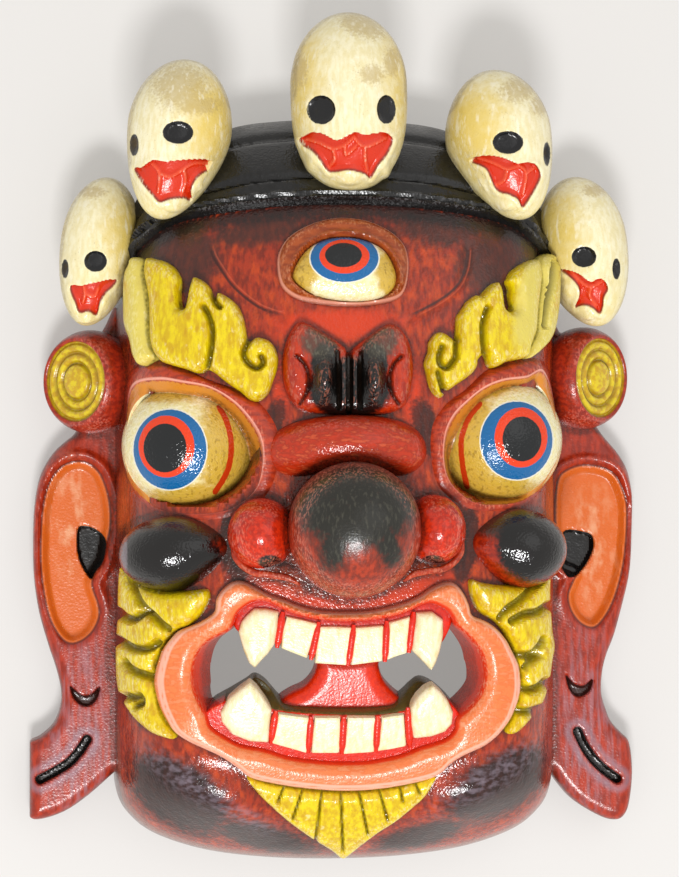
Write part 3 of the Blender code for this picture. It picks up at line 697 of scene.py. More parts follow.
# %% The bridge of the nose and the rims of the nostrils, as bars
BRIDGE_LINE = (
    (-30.5, -9.0), (-27, -5.8), (-20, -2.8), (-10, -0.6), (0, 0), (10, -0.4), (18, -2.2), (25, -5.2),
    (28, -8.5),
)
BRIDGE_HEIGHT, BRIDGE_DROOP = 78.0, 0.016
BRIDGE_RADIUS = 10.6
NOSTRIL_RIMS = {
    "nostril_rim_left": ((232, 543), (235, 556), (244, 567), (256, 573), (272, 575), (288, 578), (300, 585)),
    "nostril_rim_right": ((463, 540), (461, 552), (453, 563), (442, 569), (428, 571), (414, 574), (404, 581)),
}
NOSTRIL_HEIGHTS = (79.0, 86.0)
NOSTRIL_RADIUS = 1.3

bars = {}
for name, pixels in NOSTRIL_RIMS.items():
    line = smooth(pixels, 5, False)
    height = np.linspace(*NOSTRIL_HEIGHTS, len(line))
    path = np.column_stack([placed(line, height), height])
    bars[name] = tube(path, tapered(len(path), NOSTRIL_RADIUS, 0.4), 16)
path = smooth(BRIDGE_LINE, 6, False)
path = np.column_stack([path, BRIDGE_HEIGHT - BRIDGE_DROOP * path[:, 0] ** 2])
bars["bridge"] = tube(path, tapered(len(path), BRIDGE_RADIUS, 0.35, 0.24), 40)
for name, (points, faces) in bars.items():
    round_parts[name] = (points, faces, nowhere(len(points)))
print("balls:", len(ROUND_FORMS), "bars:", len(bars))

# %% [markdown]
# ## Eyelids
# A lid is the wood that the carver leaves standing round the eyeball: it comes up from the
# brow, ends in a soft rim, and drops to the ball. Three closed lines in the photograph give it:
# its foot, its rim and where it meets the ball. We fill the strip between them.

# %% The lids, from three lines each
LID_PROUD = (0.2, 1.0, 2.6, 3.0, 3.0, 3.0, 3.0, 2.6, 2.2, 1.6, 0.8, 0.3, 0.2, 0.2, 0.2, 0.2)
LIDS = {
    "lid_left": (
        "eye_left",
        ((115, 448), (117, 400), (130, 366), (155, 357), (180, 365), (206, 378), (236, 388), (262, 402),
         (280, 430), (281, 465), (266, 502), (232, 521), (190, 525), (150, 519), (125, 499), (115, 474)),
        ((122, 448), (126, 408), (136, 384), (160, 378.5), (184, 381.5), (211, 387), (234, 401), (251, 420),
         (261, 439), (263, 462), (255, 490), (228, 510), (190, 514), (156, 509), (132, 491), (122, 470)),
        ((125, 448), (130, 414), (144, 396), (165, 393), (186, 395), (211, 401), (230, 416), (243, 435),
         (249, 455), (249, 475), (240, 492), (222, 503), (190, 508), (160, 503), (138, 486), (127, 468)),
    ),
    "lid_right": (
        "eye_right",
        ((566, 441), (566, 398), (546, 361), (528, 356), (508, 360), (486, 369), (466, 388), (444, 404),
         (430, 428), (430, 465), (440, 494), (468, 513), (500, 516), (532, 511), (555, 493), (566, 467)),
        ((559, 441), (556, 405), (541, 371), (524, 377), (502, 380), (484, 387), (468, 399), (453, 415),
         (445, 435), (444, 462), (452, 484), (474, 502), (500, 505), (525, 501), (546, 487), (558, 465)),
        ((557, 441), (552, 410), (540, 388), (522, 386), (502, 389), (482, 400), (466, 418), (456, 438),
         (450, 462), (454, 478), (464, 490), (480, 496), (500, 498), (522, 495), (541, 483), (554, 463)),
    ),
}
LID_ROWS = 18
RIM_ROW = 10
LID_WALL = 6.0
LID_FOOT_RISE, LID_RIM_RISE = -0.8, 1.5
BALL_LIMIT = 0.97
BALL_ROUNDS, BALL_STRIDE = 12, 0.8


def ball_height(name, xy):
    """How high a round form stands over places on it."""
    centre, radii, _ = ROUND_FORMS[name]
    away = np.hypot((xy[:, 0] - centre[0]) / radii[0], (xy[:, 1] - centre[1]) / radii[1])
    return centre[2] + radii[2] * np.sqrt(1 - np.minimum(away, BALL_LIMIT) ** 2)


def on_ball(name, pixels):
    """The places on a round form that are seen at these pixels."""
    xy = placed(pixels, 60.0)
    for _ in range(BALL_ROUNDS):
        seen = seen_at(np.column_stack([xy, ball_height(name, xy)]))
        xy = xy + BALL_STRIDE * (pixels - seen) * (1, -1) / PIXELS_A_MM
    return np.column_stack([xy, ball_height(name, xy)])


def lid(ball_name, foot, rim, meet):
    """A closed strip round an eyeball: up from its foot to its rim, then down to the ball."""
    foot, rim, meet = (smooth(line, 12) for line in (foot, rim, meet))
    proud = smooth(np.array(LID_PROUD)[:, None], 12)[:, 0]
    low = lifted(traced(foot), LID_FOOT_RISE)
    high = lifted(traced(rim, LID_RIM_RISE), proud)
    inner = on_ball(ball_name, meet) + (0, 0, -0.2)
    rows = []
    for row in range(RIM_ROW + 1):
        share = row / RIM_ROW
        arch = (proud[:, None] * 0.35 + 0.3) * math.sin(math.pi * share)
        rows.append(low * (1 - share) + high * share + arch * np.array((0, 0, 1.0)))
    for row in range(RIM_ROW + 1, LID_ROWS):
        share = (row - RIM_ROW) / (LID_ROWS - 1 - RIM_ROW)
        drop = ease(share) ** 0.7
        spot = high * (1 - share) + inner * share
        spot[:, 2] = high[:, 2] * (1 - drop) + inner[:, 2] * drop
        rows.append(spot)
    middle = np.array(ROUND_FORMS[ball_name][0])
    rows.append(middle + (inner - middle) * (0.8, 0.8, 0.5))
    top = np.concatenate(rows)
    points, closed = walled(top, top - (0, 0, LID_WALL), ringed(len(rows), len(foot)))
    across = np.repeat(np.arange(len(rows)) / RIM_ROW, len(foot))
    facts = {"across": np.tile(across, 2), "proud": np.tile(proud / max(proud), 2 * len(rows))}
    return points, closed, {**nowhere(len(points)), **facts}


for name, lines in LIDS.items():
    round_parts[name] = lid(*lines)
print("round forms:", len(round_parts))

# %% [markdown]
# ## Brows, third eye, beard and lips
# These are the flat curls and rings. Their outlines come straight from the photograph, where
# each lobe of the brows and each lock of the beard can be followed.

# %% The curls of the brows
BROWS = {
    "brow_left_outer": (
        ((124.5, 264), (125.5, 259), (130, 255), (136, 257), (139, 264), (141, 276), (143.5, 290),
         (145.5, 310), (145.5, 330), (148, 345), (151, 356), (146, 361), (136, 366), (129, 357), (125, 340),
         (120, 325),
         (119, 310), (119, 290), (120.5, 273)),
        (),
    ),
    "brow_left": (
        ((141, 261), (144.5, 255.5), (152, 256.5), (160, 258.5), (168, 263.5), (173, 270), (176, 278),
         (175.2, 290), (175.5, 300), (178, 307), (182, 307), (184.5, 298), (186.5, 288), (190, 277),
         (193, 275), (199, 277), (206, 282), (210, 288), (213.5, 294), (217, 290.5), (225, 293.5),
         (234, 300), (239, 306), (243, 315), (245.5, 325), (247, 334), (250, 339), (256, 336), (262, 336.5),
         (270, 340), (275, 346), (278, 353), (279, 360), (277.5, 370), (274, 380), (270, 391), (264, 398),
         (258, 401), (252, 400.5), (247, 398), (240, 392), (232, 387), (222, 380), (213, 373), (205, 369.5),
         (199, 372.5), (192, 372.5), (185, 370), (172, 366.5), (160, 363), (154, 358), (149, 350),
         (146, 338), (145.5, 322), (145, 300),
         (142.5, 285), (140, 272)),
        (
            ((203, 306), (207.5, 314), (211, 325), (211.5, 335), (210, 350), (207, 366)),
            ((250, 338), (246, 345), (243.5, 353), (246, 360), (251, 365), (257, 367.5), (262, 364),
             (263, 360), (261, 356)),
            ((213, 292), (214, 300), (219, 306)),
        ),
    ),
    "brow_right": (
        ((444, 389), (446, 394.5), (442, 397.5), (437, 395), (432, 388), (429, 379), (427, 370), (425.5, 363),
         (427, 357), (429.5, 350), (430, 342), (432, 338), (436, 332.5), (441, 330.5), (447, 332),
         (452, 335.5), (456.5, 338), (458, 330), (459, 315), (462, 310), (466, 304), (469, 299.5),
         (473, 296), (478, 293), (482, 294), (485, 291), (490, 286), (496, 281), (500.5, 280), (503.5, 284),
         (506, 291), (507, 300), (508.5, 307), (512, 310), (516, 309), (517, 303), (515.5, 296), (515, 286),
         (512, 279), (514, 275), (518, 268), (525, 263), (532, 259), (540, 257), (543, 262), (545, 275),
         (543, 295), (541, 315), (540, 330), (535, 345), (531, 357), (520, 360), (510, 362), (502, 366),
         (496, 367.5),
         (492, 364), (488, 354), (481, 359), (480, 365), (476, 372), (468, 378.5), (458, 385), (450, 390)),
        (
            ((489, 307), (486, 315), (484, 325), (484.5, 340), (485.5, 352)),
            ((457, 338), (457, 345), (456.5, 356), (453, 362), (448, 367), (443, 366), (440, 361), (440, 354),
             (443, 346)),
            ((444, 390), (441, 380), (439, 372)),
        ),
    ),
    "brow_right_outer": (
        ((544, 266), (547, 256), (550, 253), (553.5, 251.5), (556.5, 254), (558.5, 256.5), (561, 258),
         (562, 270), (562, 290), (561, 310), (558, 330), (553, 342), (546, 350), (540, 355), (533, 358),
         (535, 345), (540.5, 330), (541.5, 315), (543.5, 295), (545.5, 280)),
        (((556, 262), (554, 281), (550, 300), (546, 325)),),
    ),
}
BROW_CUT = {"top": 7.0, "foot": 1.2, "edge": 3.6, "gouge": (1.9, 3.6), "share": 0.8}


def curl(pixels, lines, top, foot, edge, gouge, share=0.6, pitch=0.6):
    """A raised curl with gouged lines, from its outline and lines in the photograph.

    The outline is read at a share of the top's height. A gouge is a width and a depth.
    """
    outline = traced(smooth(pixels, 5), top * share)
    grooves = [(smooth(line, 5, False), *gouge) for line in lines]
    return relief(outline, pillow(foot, top, edge), pitch=pitch, grooves=grooves)


brow_parts = {name: curl(pixels, lines, **BROW_CUT) for name, (pixels, lines) in BROWS.items()}
print("parts of the brows:", len(brow_parts))

# %% The frown, one block with leaf-shaped tops
FROWN = (
    (283, 352), (287, 338), (293, 326), (300, 320), (310, 323), (322, 330), (335, 338), (344, 345),
    (350, 349), (356, 345), (366, 337), (378, 328), (390, 322), (400, 326), (408, 336), (413, 350),
    (415, 370), (412, 390), (407, 404), (395, 412), (375, 415), (349, 415), (322, 414), (303, 411),
    (292, 402), (285, 388), (282, 370),
)
FROWN_GROOVES = (
    (((349.5, 344), (349.5, 380), (349.5, 412)), 1.7, 4.0),
    (((338, 352), (339, 380), (339, 408)), 1.2, 2.4),
    (((361, 352), (360, 380), (360, 408)), 1.2, 2.4),
    (((297, 356), (305, 364), (309, 377), (307, 392), (300, 404)), 1.3, 1.8),
    (((402, 356), (394, 364), (390, 377), (392, 392), (399, 404)), 1.3, 1.8),
)
FROWN_LUMPS = ((324, 380, 15, 34), (374, 380, 15, 34))
FROWN_FOOT, FROWN_RISE, FROWN_EDGE = 0.5, 7.5, 5.0
LUMP_RISE = 6.0


def frown_rise(xy, inside):
    """A rounded block that swells where the two black lumps are."""
    across, down = seen_at(lifted(xy, FROWN_RISE)).T
    lumps = [ellipse_distance(across, down, (x, y), (wide, high)) for x, y, wide, high in FROWN_LUMPS]
    swell = sum(1 - ease(away) for away in lumps)
    return pillow(FROWN_FOOT, FROWN_RISE, FROWN_EDGE)(xy, inside) + LUMP_RISE * swell


frown_grooves = [(smooth(line, 5, False), width, depth) for line, width, depth in FROWN_GROOVES]
frown = relief(traced(smooth(FROWN, 5), FROWN_RISE * 0.6), frown_rise, pitch=0.6, grooves=frown_grooves)
print("points of the frown:", len(frown[0]))

# %% The third eye
THIRD_LID = (
    (277, 265), (279, 250), (288, 236), (305, 225), (325, 218), (345, 216), (367, 219), (388, 228),
    (403, 241), (409, 256), (409, 275), (404, 292), (392, 300), (370, 304), (345, 305), (315, 302),
    (294, 296), (281, 284),
)
THIRD_BALL = (
    (293, 277), (298, 260), (310, 246), (327, 238), (345, 236), (365, 239), (383, 248), (393, 262),
    (397, 277), (393, 289), (380, 297), (357, 300), (330, 298), (308, 291),
)
THIRD_LID_CUT = (0.4, 5.0, 4.5)
THIRD_BALL_CUT = (3.2, 8.8, 13.0)
THIRD_RIM_RISE, THIRD_RIM_AT, THIRD_RIM_WIDTH = 1.2, 1.2, 1.1
THIRD_DROP, THIRD_DROP_WIDTH = 2.0, 0.9
third_lid_line = traced(smooth(THIRD_LID, 6), 3.0)
third_ball_line = traced(smooth(THIRD_BALL, 6), 5.0)


def third_lid_rise(xy, inside):
    """A lid that rises to a soft rim round the ball and drops to it."""
    near = -depth_inside(xy, [third_ball_line])
    rim = THIRD_RIM_RISE * np.exp(-(((near - THIRD_RIM_AT) / THIRD_RIM_WIDTH) ** 2))
    return pillow(*THIRD_LID_CUT)(xy, inside) + rim - THIRD_DROP * (1 - ease(near / THIRD_DROP_WIDTH))


third_parts = {
    "third_lid": relief(third_lid_line, third_lid_rise),
    "third_eye": relief(third_ball_line, pillow(*THIRD_BALL_CUT)),
}
print("points of the third eye's lid:", len(third_parts["third_lid"][0]))

# %% The beard
BEARDS = {
    "beard_left": (
        ((118, 566), (122, 567), (130, 575), (138, 581), (150, 586), (165, 590), (180, 591), (195, 590),
         (205, 590), (208, 597), (205, 606), (199, 615), (192, 622), (185, 627), (176, 630), (167, 637),
         (161, 645), (157, 655), (153, 668), (153, 680), (156, 695), (160, 710), (164, 720), (171, 731),
         (174, 738), (172, 741), (163, 739), (152, 735), (141, 727), (131, 717), (123, 705), (118, 695),
         (115.5, 685), (114, 670), (114, 640), (115.5, 620), (116, 590)),
        (
            ((130, 582), (133, 592), (137, 601), (143, 609), (152, 617), (160, 625), (166, 629)),
            ((117, 612), (124, 618), (132, 619), (141, 613)),
            ((117, 640), (130, 648), (145, 649), (156, 643)),
            ((122, 662), (127, 668), (135, 673), (150, 677)),
            ((123, 696), (130, 698), (137, 697), (139, 703), (133, 706)),
        ),
    ),
    "beard_right": (
        ((473, 580), (485, 583), (500, 585), (520, 585), (535, 581), (545, 574), (552, 567), (551, 580),
         (551, 600), (552, 615), (553, 630), (555, 645), (553, 660), (551, 675), (548, 690), (545, 700),
         (540, 711), (532, 720), (524, 729), (517, 734.5), (510, 736), (508, 733), (511, 725), (516, 715),
         (520, 702), (522, 690), (523, 675), (521, 665), (518, 652), (512, 640), (506, 630), (498, 622),
         (488, 616), (480, 610), (475, 600), (472, 590)),
        (
            ((540, 580), (533, 588), (528, 595), (520, 602), (510, 609), (502, 618)),
            ((546, 640), (541, 648), (533, 655), (519, 655)),
            ((549, 606), (540, 612), (528, 614), (514, 621)),
            ((547, 682), (540, 688), (530, 690), (522, 687)),
            ((541, 655), (533, 662), (528, 667)),
            ((519, 711), (530, 712), (541, 709)),
        ),
    ),
}
BEARD_CUT = {"top": 7.0, "foot": 1.0, "edge": 5.0, "gouge": (2.6, 3.8)}
GOATEE = (
    (246, 778), (262, 781), (290, 787), (320, 791), (345, 792), (375, 790), (405, 785), (436, 775),
    (432, 788), (424, 799), (410, 811), (396, 822), (380, 832), (362, 845), (343, 858), (330, 850),
    (310, 838), (290, 824), (270, 807), (256, 793),
)
FAN_LINES = (
    ((284, 788), (278, 803)), ((303, 790), (293, 820)), ((322, 792), (316, 840)), ((341, 793), (343, 852)),
    ((359, 792), (368, 836)), ((379, 790), (388, 822)), ((400, 787), (403, 803)), ((415, 783), (420, 795)),
)
GOATEE_CUT = {"top": 6.5, "foot": 1.0, "edge": 3.2, "gouge": (1.0, 1.6), "pitch": 0.7}
beard_parts = {name: curl(pixels, lines, **BEARD_CUT) for name, (pixels, lines) in BEARDS.items()}
goatee = curl(GOATEE, FAN_LINES, **GOATEE_CUT)
print("lines in the goatee:", len(FAN_LINES))

# %% The lips, as one ring
UPPER_GUM_EDGE = (
    (233, 625), (237, 615), (243, 609), (252, 603.5), (262, 602), (272, 605), (282, 610), (295, 615),
    (315, 620), (340, 622.5), (370, 621.5), (395, 617), (410, 612), (420, 607), (430, 604), (440, 607),
    (448, 612), (453, 619),
)
RIGHT_CORNER = (
    (457, 627), (465, 634), (473, 642), (481, 652), (485, 663), (486, 677), (482, 692), (475, 703),
    (466, 712),
)
LOWER_GUM_EDGE = (
    (457, 721), (455, 732), (445, 742), (420, 750), (400, 758), (370, 764), (345, 765), (320, 764),
    (290, 760), (265, 752), (240, 747), (220, 736), (210, 728), (206, 716),
)
LEFT_CORNER = ((198, 702), (193, 690), (191, 677), (193, 663), (198, 652), (207, 643), (218, 637), (228, 632))
LIP_SINK = 17.0
LIP_FOOT, LIP_EDGE = 0.5, 3.6
LIP_FULLNESS, LIP_SLOPE = 1.08, 0.28
lips_inner = traced(smooth(UPPER_GUM_EDGE + RIGHT_CORNER + LOWER_GUM_EDGE + LEFT_CORNER, 4), LIP_RISE * 0.5)


def lip_rise(xy, inside):
    """A full round lip, a little higher along its outer side."""
    outer = line_distance(xy, lips_outer, True)
    inner = line_distance(xy, lips_inner, True)
    across = outer / np.maximum(outer + inner, 0.01)
    return LIP_FOOT + (LIP_RISE - LIP_FOOT) * bevel(inside, LIP_EDGE) * (LIP_FULLNESS - LIP_SLOPE * across)


lips = relief(lips_outer, lip_rise, sink=LIP_SINK, pitch=0.9, holes=[lips_inner])
for key, line in (("outer", lips_outer), ("inner", lips_inner)):
    upper_sheet = lips[0][: len(lips[0]) // 2, :2]
    lips[2][key] = np.tile(line_distance(upper_sheet, line, True), 2)
print("points of the lips:", len(lips[0]))

# %% [markdown]
# ## Gums, teeth and tongue
# The teeth are not set in: they are the same wood, cut as small blocks with soft corners on a
# plate of red gum, and the gum that stays between them separates them.

# %% Inside the mouth
UPPER_GUM = (
    UPPER_GUM_EDGE[0], *[(x, y - 5) for x, y in UPPER_GUM_EDGE[1:-1]], UPPER_GUM_EDGE[-1],
    (447, 636), (438, 646), (412, 650), (406, 650), (382, 657), (354, 661), (345, 661), (315, 659),
    (306, 654), (282, 645), (276, 645), (262, 645), (243, 636),
)
LOWER_GUM = (
    (206, 712), (228, 700), (246, 690), (255, 684), (265, 689), (273, 698), (281, 707), (291, 711),
    (345, 713), (390, 711), (401, 706), (409, 699), (415, 693), (425, 687), (440, 694), (458, 712),
    (464, 728), (450, 748), (424, 757), (402, 765), (370, 771), (345, 772), (320, 771), (288, 767),
    (262, 759), (236, 754), (212, 742), (200, 728),
)
TEETH = {
    "teeth_upper": (
        ((288, 617), (301, 620), (316, 624), (311, 641), (306, 658), (294, 653), (283, 648), (284, 632)),
        ((321, 627), (335, 627), (350, 628), (348, 646), (345, 665), (331, 664), (317, 663), (318, 645)),
        ((357, 628), (370, 627), (382, 626), (382, 644), (381, 661), (367, 663), (353, 665), (354, 646)),
        ((390, 623), (400, 620), (409, 617), (408, 635), (406, 653), (397, 656), (388, 660), (389, 641)),
    ),
    "teeth_lower": (
        ((280, 714), (293, 716), (307, 718), (306, 736), (305, 753), (289, 748), (273, 743), (277, 728)),
        ((316, 718), (328, 718), (339, 718), (339, 736), (338, 753), (325, 753), (313, 753), (314, 736)),
        ((349, 718), (362, 718), (374, 718), (373, 736), (373, 752), (359, 753), (345, 754), (347, 736)),
        ((383, 718), (393, 716), (403, 715), (404, 731), (405, 746), (392, 749), (379, 751), (381, 735)),
    ),
    "fangs": (
        ((238, 632), (241, 622), (247, 615), (254, 609), (266, 609), (279, 612), (278, 628), (275, 645),
         (268, 655), (262, 661), (255, 669), (249, 664), (243, 650)),
        ((417, 613), (433, 612), (444, 620), (444, 636), (441, 651), (437, 663), (432, 672), (425, 664),
         (417, 656), (412, 651), (414, 632)),
        ((220, 714), (228, 700), (240, 690), (250, 683), (257, 689), (265, 700), (272, 711), (270, 727),
         (269, 744), (250, 743), (232, 736), (221, 723)),
        ((411, 709), (418, 698), (426, 690), (434, 686), (442, 693), (449, 702), (454, 714), (453, 725),
         (446, 733), (432, 738), (414, 740), (411, 725)),
    ),
}
TONGUE = (
    (316, 655), (345, 658), (379, 655), (380, 668), (384, 681), (390, 690), (398, 698), (407, 706),
    (400, 718), (345, 722), (285, 718), (278, 707), (290, 697), (304, 690), (313, 680), (317, 668),
)
SEPARATORS = (
    ((283, 612), (277, 648)), ((319, 622), (311, 660)), ((354, 625), (348, 666)), ((387, 621), (385, 662)),
    ((414, 612), (409, 653)), ((276, 711), (271, 744)), ((311, 717), (308, 753)), ((344, 717), (342, 754)),
    ((378, 716), (376, 752)), ((408, 708), (410, 748)),
)
LOWER_TEETH_BACK = ((232, 704), (250, 694), (273, 712), (345, 718), (403, 714), (432, 694), (452, 706))

# %% How high, how deep and how soft each form of the mouth is
UPPER_GUM_CUT = (-1.6, 0.0, 1.6)
TONGUE_CUT = (-11.0, -6.0, 6.0)
PLATE_SINK, TONGUE_SINK, TOOTH_SINK = 16.0, 18.0, 4.0
GUM_TOP, GUM_DROP, GUM_SLOPE, GUM_EDGE = 0.3, 9.0, 5.0, 0.6
LINING_RISE, LINING_SINK, LINING_SPREAD = -12.0, 22.0, (1.26, 1.34)
TOOTH_FOOT = 0.4
TOOTH_CUTS = {
    "teeth_upper": {"high": 2.4, "soft": 1.1, "wide": 1.15},
    "teeth_lower": {"high": 2.4, "soft": 1.1, "wide": 1.15},
    "fangs": {"high": 4.2, "soft": 3.4, "wide": 1.0},
}
SEPARATOR_RADIUS = 1.5
teeth_back = traced(smooth(LOWER_TEETH_BACK, 5, False), 1.0)


def behind_teeth(points):
    """How far points lie behind the lower teeth."""
    return points[:, 1] - np.interp(points[:, 0], teeth_back[:, 0], teeth_back[:, 1])


def ledge(xy, inside):
    """The lower gum: flat under the teeth, falling away behind them."""
    return GUM_TOP - GUM_DROP * ease(behind_teeth(xy) / GUM_SLOPE) - GUM_EDGE * (1 - bevel(inside, 1.0))


def widened(outline, wide, high):
    """An outline made larger about its middle."""
    outline = np.array(outline, float)
    middle = outline.mean(axis=0)
    return middle + (outline - middle) * (wide, high)


def lining(hole):
    """The cleanly cut edge of a way through the mouth."""
    outer, inner = (traced(smooth(line, 4), LINING_RISE) for line in (widened(hole, *LINING_SPREAD), hole))
    return relief(outer, lambda xy, inside: LINING_RISE, LINING_SINK, 1.0, holes=[inner])


def tooth(outline, high, soft, wide):
    """One tooth with soft corners."""
    outline = traced(even(widened(outline, wide, 1 + (wide - 1) * 0.3), 2.0), high * 0.8)
    foot = high - (high + TOOTH_FOOT) * 0.6
    return relief(outline, pillow(foot, high, soft), sink=TOOTH_SINK, pitch=0.6)


def separator(line):
    """A bead of gum between two teeth."""
    pixels = even(np.array(line, float), 2.5, False)
    path = lifted(traced(pixels, 2.0), 1.4)
    points, faces = tube(path, tapered(len(path), SEPARATOR_RADIUS, 0.5, 0.25), 12)
    return points, faces, nowhere(len(points))


# %% The parts of the mouth
mouth_parts = {
    "gum_upper": relief(traced(smooth(UPPER_GUM, 3)), pillow(*UPPER_GUM_CUT), sink=PLATE_SINK),
    "gum_lower": relief(traced(smooth(LOWER_GUM, 3)), ledge, sink=PLATE_SINK),
    "tongue": relief(traced(smooth(TONGUE, 4), TONGUE_CUT[1]), pillow(*TONGUE_CUT), sink=TONGUE_SINK),
}
for name, outlines in TEETH.items():
    mouth_parts[name] = merged(tooth(outline, **TOOTH_CUTS[name]) for outline in outlines)
mouth_parts["mouth_lining"] = merged(lining(hole) for hole in (HOLE_LEFT, HOLE_RIGHT))
mouth_parts["gum_beads"] = merged(separator(line) for line in SEPARATORS)
print("parts of the mouth:", len(mouth_parts), "teeth:", sum(len(outlines) for outlines in TEETH.values()))

# %% [markdown]
# ## Ears and ear studs
# The ears are flat boards of the same wood behind the face, with long lobes. Their insides are
# scooped, not pierced. The studs are short drums that look outwards, turned to a ring pattern.

# %% The ears' outlines and what is cut into them
EAR_LIFT = 6.0
EAR_THICKNESS, EAR_EDGE, EAR_EDGE_DROP = 12.0, 5.0, 5.0
EAR_SEEN_AT = 15.0
EAR_REACH = 119.8
SLIT_HALF_WIDTH = 1.75
ROLL_RISE, ROLL_AT, ROLL_WIDTH = 1.7, 2.6, 1.7
ROLL_FROM_Y, ROLL_FADE = -75.0, 30.0
SCOOP_LINE_DEPTH, SCOOP_LINE_WIDTH = 0.9, 0.8
# Each cut's depth, how far it starts outside its outline, and how wide its wall is
EAR_CUTS = {
    "scoop": (3.6, 0, 3.2), "hole": (4.2, 0.3, 1.3), "crescent": (3.0, 0.5, 1.5), "slit": (4.5, 0.5, 1.5),
}
EARS = {
    "left": {
        "outline": (
            (125, 335), (100, 335), (85, 345), (79, 370), (77, 400), (79, 420), (75, 433), (66, 441),
            (55, 451), (45, 465), (38, 483), (34, 510), (33, 545), (34, 578), (39, 612), (48, 644),
            (56, 668), (61, 690), (60, 708), (53, 725), (40, 737), (29, 743), (26, 760), (25, 797),
            (28, 815), (38, 820), (64, 812), (89, 795), (115, 772), (126, 764),
        ),
        "scoop": (
            (60, 468), (72, 462), (85, 462), (98, 471), (106, 488), (110, 508), (110, 527), (107, 541),
            (103, 560), (96, 572), (92, 582), (94, 592), (98, 603), (99, 616), (93, 630), (82, 640),
            (70, 643), (60, 636), (50, 618), (44, 592), (41, 565), (41, 535), (43, 508), (49, 484),
        ),
        "hole": (
            (79, 527), (87, 526), (95, 529), (102, 534), (106, 541), (105, 553), (102, 563), (96, 571),
            (91, 579), (84, 570), (79, 559), (77, 547), (77, 535),
        ),
        "crescent": (
            (70, 685), (79, 693), (86, 695), (92, 693), (100, 686), (98, 696), (93, 703), (86, 706),
            (77, 702), (72, 694),
        ),
        "slit": ((40, 779), (55, 771), (69, 762), (79, 751), (87, 739)),
    },
    "right": {
        "outline": (
            (540, 330), (560, 332), (583, 342), (593, 365), (597, 395), (595, 420), (601, 432), (609, 442),
            (619, 454), (628, 471), (632, 495), (632, 520), (630, 568), (624, 600), (615, 634), (607, 655),
            (603, 672), (602, 692), (606, 708), (612, 722), (622, 733), (630, 743), (633, 772), (630, 802),
            (625, 815), (617, 820), (602, 817), (576, 802), (560, 785), (551, 772), (543, 766),
        ),
        "scoop": (
            (557, 480), (566, 470), (582, 465), (600, 467), (613, 474), (621, 488), (626, 508), (625, 540),
            (621, 570), (613, 598), (604, 616), (593, 627), (580, 623), (570, 610), (567, 595), (572, 581),
            (575, 572), (562, 565), (556, 545), (554, 510),
        ),
        "hole": (
            (560, 538), (567, 530), (580, 531), (592, 535), (594, 547), (589, 560), (581, 571), (571, 577),
            (564, 574), (558, 560), (557, 548),
        ),
        "crescent": (
            (565, 674), (573, 683), (583, 685), (592, 678), (590, 688), (583, 695), (575, 696), (569, 690),
            (566, 682),
        ),
        "slit": ((577, 731), (584, 746), (594, 760), (606, 771), (616, 778)),
    },
}


def flat(xy, height):
    """Points over the flat underside of the ears."""
    return np.column_stack([xy, np.full(len(xy), EAR_LIFT) + height])


def inside_seen(points, pixels):
    """How far points in the picture lie inside an outline, in millimetres."""
    return depth_inside(points, [smooth(pixels, 4)]) / PIXELS_A_MM


def line_seen(points, pixels, steps=4):
    """How far points in the picture lie from a line, in millimetres."""
    return line_distance(points, smooth(pixels, steps, False)) / PIXELS_A_MM


def ear_marks(xy, marks):
    """How far places on an ear lie inside each of its cuts."""
    seen = seen_at(np.column_stack([xy, np.full(len(xy), EAR_SEEN_AT)]))
    inside = {key: inside_seen(seen, marks[key]) for key in ("scoop", "hole", "crescent")}
    return {**inside, "slit": SLIT_HALF_WIDTH - line_seen(seen, marks["slit"], 5)}


def ear(marks):
    """One ear, with the facts that its paint needs."""
    outline = placed(smooth(marks["outline"], 4), EAR_SEEN_AT)
    outline[:, 0] = np.clip(outline[:, 0], -EAR_REACH, EAR_REACH)

    def rise(xy, inside):
        into = ear_marks(xy, marks)
        roll = np.exp(-(((np.maximum(-into["scoop"], 0) - ROLL_AT) / ROLL_WIDTH) ** 2))
        top = EAR_THICKNESS - EAR_EDGE_DROP * (1 - bevel(inside, EAR_EDGE))
        top = top + ROLL_RISE * roll * ease((xy[:, 1] - ROLL_FROM_Y) / ROLL_FADE)
        top = top - SCOOP_LINE_DEPTH * np.exp(-((into["scoop"] / SCOOP_LINE_WIDTH) ** 2))
        for key, (depth, early, wall) in EAR_CUTS.items():
            top = top - depth * ease((into[key] + early) / wall)
        return top

    points, faces, facts = relief(outline, rise, sink=0, pitch=0.65, carry=flat)
    return points, faces, {**facts, **ear_marks(points[:, :2], marks)}


ear_parts = {f"ear_{side}": ear(marks) for side, marks in EARS.items()}
print("points of the left ear:", len(ear_parts["ear_left"][0]))

# %% The studs, turned from a profile
STUD_PROFILE = (
    (0.0, -18.0), (16.0, -18.0), (18.8, -15.0), (20.0, -10.5), (19.8, -6.0), (18.4, -2.2), (17.2, -0.4),
    (16.4, 0.1), (15.6, -0.3), (15.2, -1.3), (14.6, -1.2), (14.0, -0.6), (12.9, -0.3), (12.0, -0.7),
    (11.4, -1.5), (10.9, -1.6), (10.4, -1.1), (9.4, -0.6), (8.4, -0.8), (7.6, -1.7), (7.0, -1.9),
    (6.6, -1.3), (6.0, -0.4), (4.4, 0.2), (2.2, 0.4), (0.0, 0.4),
)
STUDS = {"left": (-102.3, 23.8, 28.5, -44), "right": (104.2, 25.6, 28.5, 42)}
STUD_SEGMENTS = 128
SWIRL_RISE, SWIRL_AT, SWIRL_WIDTH = 0.35, 10.0, 3.0


